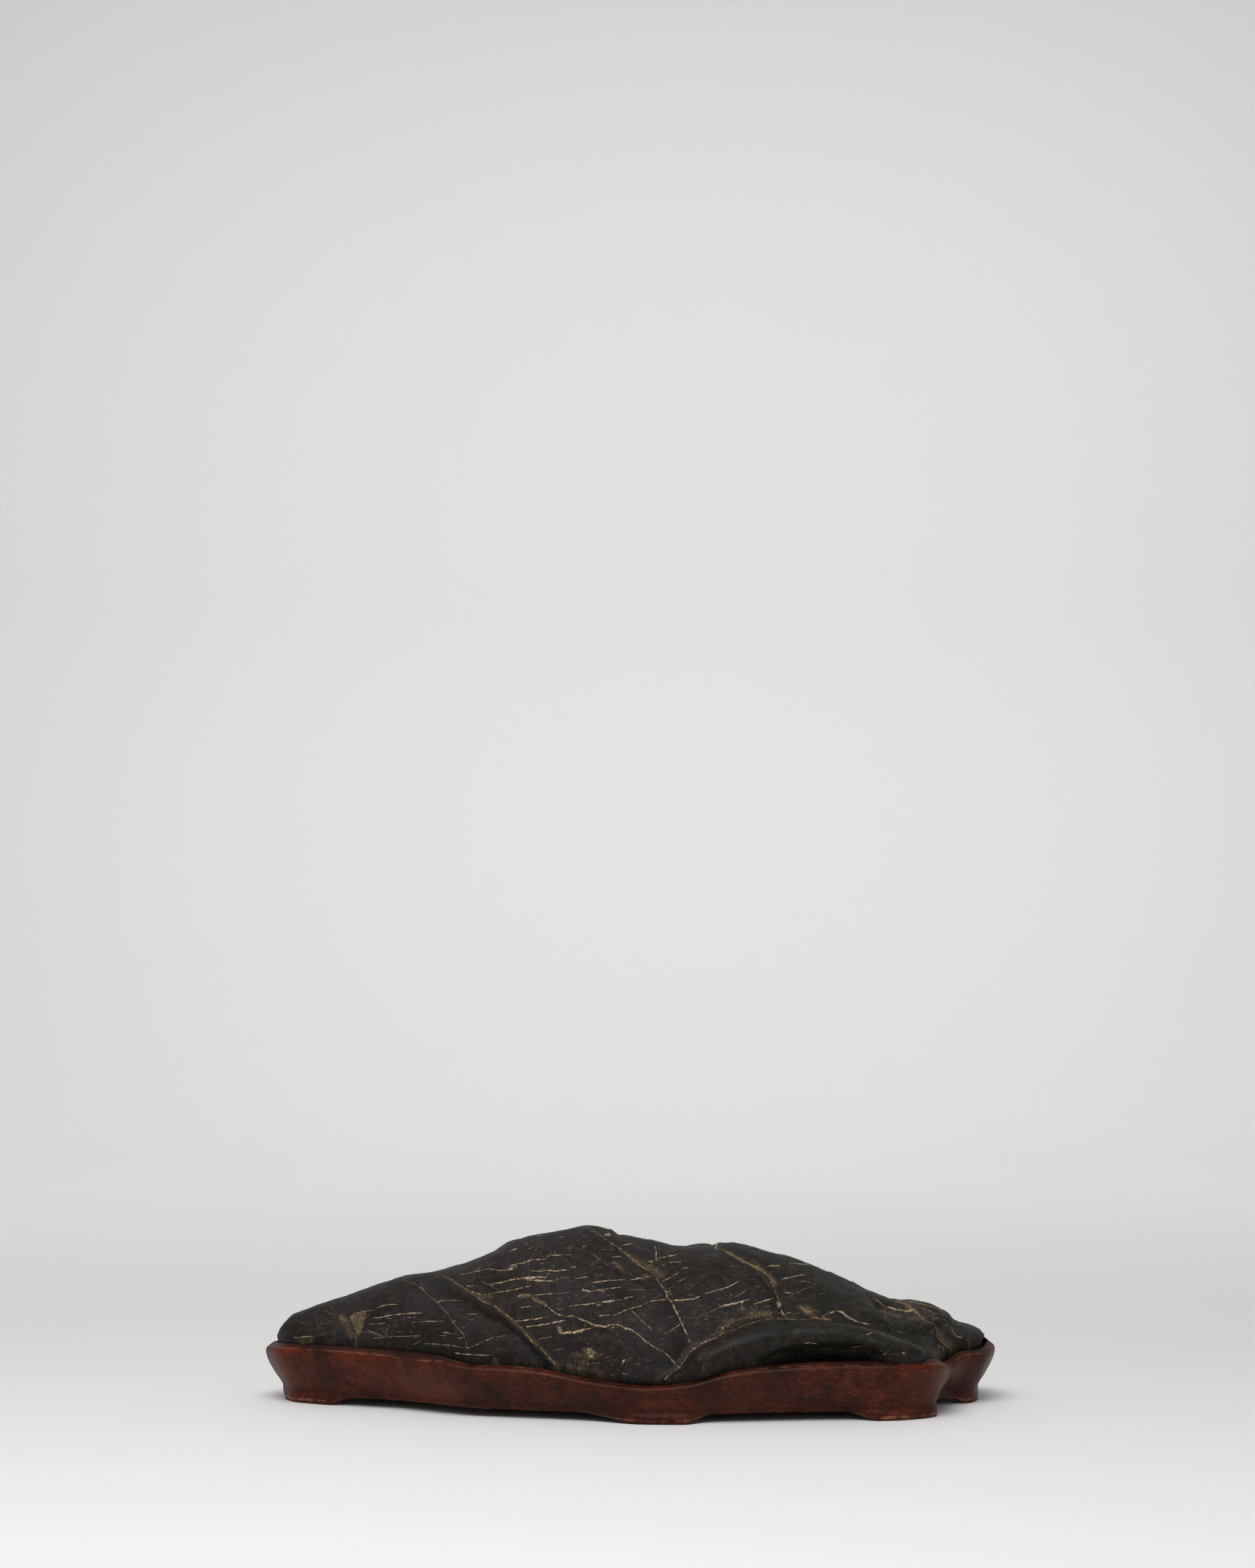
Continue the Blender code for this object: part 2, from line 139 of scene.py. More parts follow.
def paper_sweep():
    bm = bmesh.new()
    left = bm.verts.new((-SWEEP_HALF_WIDTH, SWEEP_FRONT, 0.0))
    right = bm.verts.new((SWEEP_HALF_WIDTH, SWEEP_FRONT, 0.0))
    edge = bm.edges.new((left, right))
    stops = [(SWEEP_BACK, 0.0)]
    for step in range(1, BEND_STEPS + 1):
        angle = math.radians(90) * step / BEND_STEPS
        stops.append((SWEEP_BACK + SWEEP_RADIUS * math.sin(angle), SWEEP_RADIUS * (1 - math.cos(angle))))
    stops.append((SWEEP_BACK + SWEEP_RADIUS, SWEEP_TOP))
    for y, z in stops:
        grown = bmesh.ops.extrude_edge_only(bm, edges=[edge])["geom"]
        edge = next(g for g in grown if isinstance(g, bmesh.types.BMEdge) and len(g.link_faces) == 1)
        for vert in edge.verts:
            vert.co.y = y
            vert.co.z = z
    bmesh.ops.recalc_face_normals(bm, faces=bm.faces)
    if bm.faces[0].normal.z < 0:
        bmesh.ops.reverse_faces(bm, faces=bm.faces)
    mesh = bpy.data.meshes.new("paper_sweep")
    bm.to_mesh(mesh)
    bm.free()
    mesh.shade_smooth()
    return bpy.data.objects.new("paper_sweep", mesh)


sweep = paper_sweep()
bpy.context.scene.collection.objects.link(sweep)
print("sweep:", len(sweep.data.polygons), "faces")

# %% [markdown]
# ## Materials: colour and nodes
#
# Colours are written as sRGB hex values, the way a swatch is read, and turned to the linear
# values that shaders use. `add_node` adds one node, sets it and links it, so that each material
# below reads as a list of its layers.


# %% Colour and node helpers
def linear(swatch):
    channels = [int(swatch[i : i + 2], 16) / 255 for i in (1, 3, 5)]
    return tuple(c / 12.92 if c <= 0.04045 else ((c + 0.055) / 1.055) ** 2.4 for c in channels) + (1.0,)


def add_node(tree, kind, *inputs, named=None, **settings):
    """Adds a node with its settings. inputs fill its sockets in order and named fills them by name;
    each is a value, a socket, a node (its first output) or None, which leaves the socket alone."""
    made = tree.nodes.new("ShaderNode" + kind)
    for key, value in settings.items():
        setattr(made, key, value)
    in_order = zip([s for s in made.inputs if s.enabled], inputs)
    by_name = ((made.inputs[key], value) for key, value in (named or {}).items())
    for socket, value in [*in_order, *by_name]:
        if isinstance(value, bpy.types.Node):
            value = next(s for s in value.outputs if s.enabled)
        if isinstance(value, bpy.types.NodeSocket):
            tree.links.new(value, socket)
        elif value is not None:
            socket.default_value = value
    return made


def new_material(name):
    material = bpy.data.materials.new(name)
    material.use_nodes = True
    return material, material.node_tree, material.node_tree.nodes["Principled BSDF"]


print("mid grey is", round(linear("#808080")[0], 3), "in linear light")

# %% [markdown]
# ## Matt paper
#
# Background paper is uncoated: a slightly cool white that scatters light evenly and shines
# only faintly at a low angle. It needs no pattern.

# %% Paper
paper, paper_tree, paper_shader = new_material("uncoated background paper")
paper_shader.inputs["Base Color"].default_value = linear("#e9e9e8")
paper_shader.inputs["Roughness"].default_value = 0.85
paper_shader.inputs["Specular IOR Level"].default_value = 0.2
sweep.data.materials.append(paper)
print(paper.name)

# %% [markdown]
# ## The stone's form
#
# The real stone is one piece: a mountain with a long low slope, two summits, and a smooth roll
# of rock along the front right with a rough hollow under it. It could be sculpted by hand or
# subdivided from the solid. It is remade here from a fine sphere whose poles are its two tips,
# because a loft over the same named lines keeps every crease crisp at this density.

# %% The stone's edge, crest and slopes, as (x, y, z) in millimetres
FRONT_EDGE = [
    (-185, 30, 29.5),  # left tip
    (-177, 12, 31.0),
    (-163, 3, 31.5),
    (-138, -8, 31.5),
    (-119, -16, 31.0),
    (-102, -28, 31.0),
    (-92, -35, 30.0),
    (-82, -40, 27.5),
    (-61, -46, 27.5),
    (-45, -50, 26.5),
    (-31, -53, 24.0),
    (-15, -57, 21.5),
    (8, -61, 19.5),  # the lowest stretch of rim
    (27, -62, 21.0),
    (50, -61, 27.0),
    (83, -57, 30.0),
    (114, -54, 30.5),
    (138, -50, 30.5),
    (152, -40, 29.5),
    (158, -23, 26.0),
    (160, -9, 24.5),  # the notch
    (168, 2, 28.0),
    (179, 12, 28.0),
    (185, 28, 30.5),  # right tip
]
BACK_EDGE = [
    (-185, 30, 29.5),
    (-178, 43, 30.0),
    (-160, 52, 30.5),
    (-135, 58, 29.0),
    (-100, 63, 26.5),
    (-62, 61, 26.0),
    (-22, 58, 28.5),
    (18, 63, 29.5),
    (60, 62, 27.0),
    (98, 56, 26.5),
    (138, 60, 29.5),
    (167, 56, 32.0),
    (181, 44, 32.5),
    (185, 28, 30.5),
]
CREST = [
    (-185, 30, 32.5),
    (-182, 28, 37.5),
    (-178, 26, 42.0),
    (-167, 23, 47.8),
    (-157, 22, 51.2),
    (-136, 19, 59.0),
    (-115, 15, 65.5),
    (-98, 12, 68.5),  # left shoulder
    (-88, 10, 71.0),
    (-70, 6, 79.0),
    (-56, 3, 86.5),
    (-42, 1, 89.5),
    (-29, 0, 91.7),
    (-20, -1, 93.0),  # summit
    (-12, -1, 91.4),
    (-8.2, -1, 90.2),  # a small step
    (-6.6, -1, 88.4),
    (-3, -1, 87.9),
    (8, 0, 86.0),
    (23, 2, 82.5),
    (36, 4, 81.6),
    (42, 5, 81.3),
    (46, 5, 80.4),
    (48.4, 5, 82.6),
    (52, 5, 83.4),  # second summit
    (57, 5, 82.9),
    (66, 6, 80.6),
    (87, 8, 74.5),
    (110, 12, 65.0),
    (126, 16, 56.5),
    (140, 19, 52.3),
    (148, 20, 52.2),
    (155, 21, 50.4),
    (161.5, 23, 46.9),
    (165.5, 24, 43.9),
    (168, 25, 40.6),
    (170, 25, 39.3),
    (177, 27, 37.2),
    (182, 28, 35.0),
    (185, 28, 33.6),
]
# How full the slopes are, as (x, power): 2 is an ellipse, and more is fuller.
FRONT_FULLNESS = [
    (-184, 2.3), (-130, 2.3), (-70, 1.9), (0, 1.9), (50, 1.75), (110, 1.8), (150, 2.2), (185, 2.2),
]
BACK_FULLNESS = [(-184, 2.2), (-110, 2.0), (-40, 2.2), (30, 1.9), (90, 2.1), (150, 2.3), (185, 2.2)]
UNDERSIDE_FULLNESS = 4.5
WIDEST_ABOVE_RIM = 3.0
STONE_BASE_Z = 12.0
TIP_SHARE = 6.0  # the underside is at its full depth from about a twentieth of the length on
SPINE_LIMITS = (0.2, 0.8)  # how near the front and the back edge the crest line may come


def stone_body(share, turn):
    """The plain mountain: share runs from tip to tip, turn goes round the section, from the
    front edge over the crest (a quarter) to the back edge (a half) and back underneath."""
    front = smooth_line(FRONT_EDGE, share)
    back = smooth_line(BACK_EDGE, share)
    middle = (front + back) / 2
    crest = smooth_value(CREST, middle[:, 0])
    depth_here = np.maximum(back[:, 1] - front[:, 1], 1e-6)
    across = np.clip((crest[:, 0] - front[:, 1]) / depth_here, *SPINE_LIMITS)
    spine = front[:, :2] + (back - front)[:, :2] * across[:, None]
    top = smooth_value(CREST, spine[:, 0])[:, 1]
    in_front = np.cos(turn) >= 0
    above = np.sin(turn) >= 0
    edge = np.where(in_front[:, None], front, back)
    front_fullness = smooth_value(FRONT_FULLNESS, spine[:, 0])[:, 0]
    back_fullness = smooth_value(BACK_FULLNESS, spine[:, 0])[:, 0]
    fullness = np.where(in_front, front_fullness, back_fullness)
    power = 2 / np.where(above, fullness, UNDERSIDE_FULLNESS)
    out = np.abs(np.cos(turn)) ** power
    up = np.abs(np.sin(turn)) ** power
    widest = edge[:, 2] + WIDEST_ABOVE_RIM
    depth = (widest - STONE_BASE_Z) * np.sqrt(np.clip(TIP_SHARE * np.sin(math.pi * share), 0, 1))
    z = widest + np.where(above, (top - widest) * up, -depth * up)
    xy = spine + (edge[:, :2] - spine) * out[:, None]
    return np.column_stack([xy, z]), z - edge[:, 2]


print("summit height", max(z for _, _, z in CREST), "mm")

# %% [markdown]
# ## The stone's relief
#
# Valleys are creases, where two rolls of rock meet in a sharp line, and swells are rounded. Each
# is a line on the front or back elevation with a width and a rise. A sculptor would draw them
# with a crease brush and a clay brush; here the distance to each line gives the same two strokes.

# %% Creases and swells, as lines of (x, z)
SHOULDER_VALLEY = [
    (-103, 65), (-88, 59), (-77, 53), (-66, 48), (-57, 41.5), (-50, 35), (-42, 28), (-37, 23),
]
SHOULDER_EDGE = [
    (-99, 67), (-87, 61.5), (-76, 55.5), (-64, 50), (-55, 43.5), (-48, 37), (-40, 30), (-33, 24),
]
SUMMIT_VALLEY = [(-21, 93), (-7, 83), (6, 75), (16, 66), (23, 56), (28, 43), (27, 28)]
SUMMIT_LEDGE = [(-28, 82), (-18, 79), (-11, 74), (1, 70), (16, 65)]
SADDLE_VALLEY = [(47, 82), (61, 75), (69, 69), (75, 62), (80, 51)]
SADDLE_RIDGE = [(40, 79), (52, 75), (61, 70), (68, 62), (74, 53)]
ROLL_TOP = [
    (25, 25), (31, 36), (41, 41), (52, 46), (62, 49), (84, 50), (111, 48), (136, 44), (151, 35), (157, 28),
]
ROLL_CREST = [(36, 31), (51, 37), (61, 40), (76, 42), (92, 43), (110, 42), (125, 38), (142, 32)]
ROLL_LIP = [
    (56, 27), (63, 32), (72, 36), (84, 38.5), (98, 39), (112, 38.5), (124, 36.5), (134, 33), (141, 29),
]
FLANK_LIP = [(-30, 88), (-22, 84), (-12, 79), (0, 72), (10, 66), (18, 62)]
FLANK_EDGE = [(136, 42), (133, 49.5), (128.5, 53), (125, 56), (120.5, 59.5), (116, 63)]
HUMP_LIP = [(118, 55), (128, 50.5), (139, 48), (150, 46), (160, 44.5), (168, 44)]
CENTRE_BELLY = [(-30, 44), (-8, 38), (12, 32)]
TIP_GROOVE = [(-170, 46), (-158, 46), (-150, 42), (-144, 31)]
END_VALLEY = [(118, 62), (128, 55), (139, 50), (149, 46), (157, 39), (162, 30)]
LEFT_FACET = [(-180, 43), (-174, 47), (-166, 49), (-158, 50), (-153, 52), (-148, 56)]
VEIN_LEDGE = [(-62, 66), (-52, 61), (-42, 55), (-33, 49), (-20, 46), (-6, 42), (4, 35), (14, 26)]
FAN_LEDGE = [(-32, 78), (-18, 74), (-4, 70), (6, 66), (16, 60), (22, 52)]
CRUMB_LEDGE = [(12, 78), (20, 72), (32, 66), (46, 60), (58, 55)]
HUMP_FOOT = [(124, 52), (134, 49), (145, 46), (154, 44), (166, 42)]
LOBE_CUT = [(151, 47), (155, 42), (156, 36), (161, 31)]
BACK_VALLEY_LEFT = [(-120, 68), (-104, 56), (-92, 42), (-86, 26)]
BACK_VALLEY_MIDDLE = [(-30, 94), (-22, 78), (-4, 62), (4, 44), (2, 26)]
BACK_VALLEY_RIGHT = [(100, 72), (92, 58), (98, 44), (112, 26)]
BACK_ROLL_LEFT = [(-62, 74), (-54, 58), (-40, 42), (-34, 28)]
BACK_ROLL_RIGHT = [(40, 78), (48, 60), (52, 44), (50, 28)]
BACK_LEDGE = [(-12, 38), (24, 44), (66, 42), (96, 34)]

# Each crease: its line, its width on the left and on the right of the line, and its rise. Each
# undercut: the line of its lip, and how deep it goes in under it.
FRONT_CREASES = [
    (SHOULDER_VALLEY, (3.0, 7.0), -3.4),
    (SHOULDER_EDGE, (2.0, 1.0), 1.0),
    (SUMMIT_VALLEY, (3.0, 5.0), -1.6),
    (SADDLE_VALLEY, (3.5, 6.0), -3.6),
    (ROLL_TOP, (6.0, 2.6), -4.4),
    (TIP_GROOVE, (6.0, 6.0), -1.8),
    (END_VALLEY, (4.0, 4.0), -1.2),
    (LEFT_FACET, (2.0, 5.0), 1.3),
    (VEIN_LEDGE, (1.2, 3.0), -0.9),
    (FAN_LEDGE, (1.0, 3.5), -0.7),
    (CRUMB_LEDGE, (3.0, 1.0), -0.7),
    (HUMP_FOOT, (1.6, 3.0), -1.8),
    (LOBE_CUT, (1.6, 2.2), -1.4),
]
FRONT_SWELLS = [
    (SUMMIT_LEDGE, 5.0, 1.6),
    (SADDLE_RIDGE, 4.5, 1.8),
    (ROLL_CREST, 8.0, 6.8),
    (CENTRE_BELLY, 20.0, 5.0),
]
FRONT_UNDERCUTS = [
    (ROLL_LIP, 6.5),
    (HUMP_LIP, 2.5),
    (FLANK_EDGE, 2.6),
    (FLANK_LIP, 1.6),
]
BACK_CREASES = [
    (BACK_VALLEY_LEFT, (9.0, 9.0), -5.0),
    (BACK_VALLEY_MIDDLE, (9.0, 9.0), -5.5),
    (BACK_VALLEY_RIGHT, (8.0, 8.0), -4.5),
    (BACK_LEDGE, (5.0, 5.0), -2.0),
]
BACK_SWELLS = [
    (BACK_ROLL_LEFT, 13.0, 4.0),
    (BACK_ROLL_RIGHT, 14.0, 4.5),
]
WAVES = [(26.0, 0.9), (11.0, 0.45)]  # (size, depth) of the soft unevenness all over

CREASE_TAPER = 0.12  # share of a crease's length over which each of its ends fades
CREASE_AT_END = 0.35  # share of its rise that it keeps there
# An undercut sets in and runs out between these mm below its lip. Past the lip's ends it fades
# over some mm, and before them over a share of its length, at its start and at its end.
UNDERCUT_SETS_IN = (-0.4, 2.0)
UNDERCUT_RUNS_OUT = (7.0, 14.0)
UNDERCUT_PAST_END = 3.0
UNDERCUT_TAPER = (0.4, 0.3)


def line_field(points, line, smooth=40):
    """For 2D points: the signed distance to a line (plus on its left, going along it), the share
    along it, and how far past its ends the point lies."""
    path = smooth_line(line, np.linspace(0, 1, smooth + 1)) if smooth else np.array(line, float)
    best = np.full(len(points), np.inf)
    side = np.zeros(len(points))
    share = np.zeros(len(points))
    beyond = np.zeros(len(points))
    lengths = np.linalg.norm(np.diff(path, axis=0), axis=1)
    starts = np.concatenate([[0.0], np.cumsum(lengths)])
    last = len(lengths) - 1
    for i, (a, b) in enumerate(zip(path[:-1], path[1:])):
        way = (b - a) / lengths[i]
        rel = points - a
        along = rel @ way
        across = way[0] * rel[:, 1] - way[1] * rel[:, 0]
        held = np.clip(along, 0, lengths[i])
        gap = np.hypot(along - held, across)
        nearer = gap < best
        best = np.where(nearer, gap, best)
        past = np.zeros(len(points))
        if i == 0:
            past = np.maximum(past, -along)
        if i == last:
            past = np.maximum(past, along - lengths[i])
        signed = np.where(past > 0, across, np.sign(across) * gap)
        side = np.where(nearer, signed, side)
        share = np.where(nearer, (starts[i] + held) / starts[-1], share)
        beyond = np.where(nearer, past, beyond)
    return best, side, share, beyond


def relief(xz, creases, swells, undercuts=()):
    """How far the surface stands out at each point of an elevation, in mm."""
    total = np.zeros(len(xz))
    for line, depth in undercuts:
        _, side, along, beyond = line_field(xz, line)
        below = fade(-side, *UNDERCUT_SETS_IN) * (1 - fade(-side, *UNDERCUT_RUNS_OUT))
        below *= 1 - fade(beyond, 0.0, UNDERCUT_PAST_END)
        at_start, at_end = UNDERCUT_TAPER
        total -= depth * below * fade(along, 0, at_start) * fade(1 - along, 0, at_end)
    for line, (left, right), rise in creases:
        gap, side, along, _ = line_field(xz, line)
        width = np.where(side > 0, left, right)
        ends = fade(along, 0, CREASE_TAPER) * fade(1 - along, 0, CREASE_TAPER)
        total += rise * np.exp(-gap / width) * (CREASE_AT_END + (1 - CREASE_AT_END) * ends)
    for line, width, rise in swells:
        gap, _, along, _ = line_field(xz, line)
        total += rise * np.exp(-((gap / width) ** 2))
    return total


print(len(FRONT_CREASES + BACK_CREASES), "creases and", len(FRONT_SWELLS + BACK_SWELLS), "swells")

# %% [markdown]
# ## The veins
#
# Calcite filled the cracks of the black limestone: a few long veins that run down the mountain,
# many short dashes along its bedding, which rises gently to the right, and fine veinlets between
# them. They could be painted as an image, but then they would blur close up. Instead each is a
# line on a drawing of the front, made on three sheets. Every point of the fine mesh is given its
# signed distance to the nearest line and that line's width there, and the shader draws a crisp
# edge from the two.

# %% Drawing sheets of the front elevation
FRAME_CENTRE = (862.5, 1078.0)
FRAME_LONG_SIDE = 2156.0
UNIT = -EYE[1] * SENSOR / LENS / FRAME_LONG_SIDE  # mm on an upright pane at y = 0, per frame unit


class Sheet:
    """One sheet of the drawing: where its corner is in the frame, and the size of its units."""

    def __init__(self, corner, unit):
        self.corner = np.array(corner, float)
        self.unit = unit

    def on_pane(self, points):
        across, down = (self.corner + self.unit * np.array(points, float) - np.array(FRAME_CENTRE)).T
        return np.column_stack([EYE[0] + across * UNIT, EYE[2] - down * UNIT])


LEFT_SHEET = Sheet((370, 1720), 0.2742)
MIDDLE_SHEET = Sheet((700, 1670), 0.2742)
RIGHT_SHEET = Sheet((980, 1690), 0.2679)

# Tones of vein: 0 is white to cream calcite, 0.5 a sandy, green-brown filling, 1 mauve grey.
CREAM, SANDY, MAUVE = 0.0, 0.5, 1.0


def on(sheet, tone, strokes):
    """Strokes of one sheet and tone, each as its sheet, its half widths, its tone and its line."""
    return [(sheet, (start, end), tone, line) for start, end, line in strokes]


# Each stroke: its half width in mm where it starts and where it ends, and its line.
MAIN_VEINS = on(LEFT_SHEET, SANDY, [
    (0.28, 0.85, [
        (845, 112), (912, 142), (966, 179), (1021, 215), (1069, 252), (1131, 276), (1178, 313), (1228, 354),
        (1264, 390), (1295, 427), (1331, 463), (1374, 500), (1410, 543), (1451, 580), (1480, 615),
    ]),
]) + on(LEFT_SHEET, MAUVE, [
    (0.3, 0.42, [
        (640, 148), (680, 150), (730, 165), (770, 190), (795, 220), (835, 250), (870, 285), (900, 325),
        (920, 360), (945, 385), (972, 415), (985, 440), (990, 490),
    ]),
]) + on(MIDDLE_SHEET, SANDY, [
    (0.4, 0.75, [
        (395, 62), (435, 90), (465, 110), (500, 135), (545, 165), (590, 200), (630, 235), (670, 262),
        (715, 290), (738, 312),
    ]),
    (0.32, 0.3, [
        (1080, 592), (1130, 575), (1180, 555), (1240, 535), (1320, 520), (1440, 527), (1520, 525),
    ]),
]) + on(MIDDLE_SHEET, CREAM, [
    (0.4, 0.3, [
        (738, 312), (752, 345), (772, 365), (790, 395), (792, 415), (815, 435), (830, 470), (845, 500),
        (862, 540), (880, 580), (895, 610), (905, 640),
    ]),
    (0.35, 0.42, [
        (75, 400), (100, 412), (140, 435), (180, 450), (210, 478), (240, 500), (290, 512), (320, 508),
        (370, 530), (420, 553), (480, 562), (512, 552), (545, 553), (580, 570), (612, 578), (650, 605),
        (690, 640), (738, 672), (765, 682), (800, 710), (830, 745), (855, 772),
    ]),
    (0.3, 0.34, [
        (765, 845), (800, 805), (850, 765), (875, 735), (905, 690), (940, 662), (975, 640), (1030, 620),
        (1080, 592),
    ]),
]) + on(RIGHT_SHEET, SANDY, [
    (0.8, 0.9, [(30, 95), (80, 120), (152, 163), (224, 198), (284, 239), (325, 282)]),
    (0.3, 0.3, [(200, 150), (250, 200), (290, 255), (318, 310), (338, 372)]),
    (0.5, 1.1, [(932, 366), (980, 381), (1027, 411), (1063, 446), (1086, 474)]),
    (0.4, 0.6, [(1086, 474), (1135, 486), (1148, 515), (1153, 560), (1201, 601), (1242, 631)]),
    (0.3, 0.35, [(818, 345), (877, 392), (890, 452)]),
]) + on(RIGHT_SHEET, CREAM, [
    (0.4, 0.3, [(345, 405), (360, 440), (378, 450)]),
    (0.32, 0.4, [
        (555, 456), (582, 437), (630, 418), (665, 426), (680, 440), (695, 455), (750, 478), (800, 488),
    ]),
    (0.5, 0.6, [(896, 398), (940, 412), (985, 421), (1027, 415)]),
])

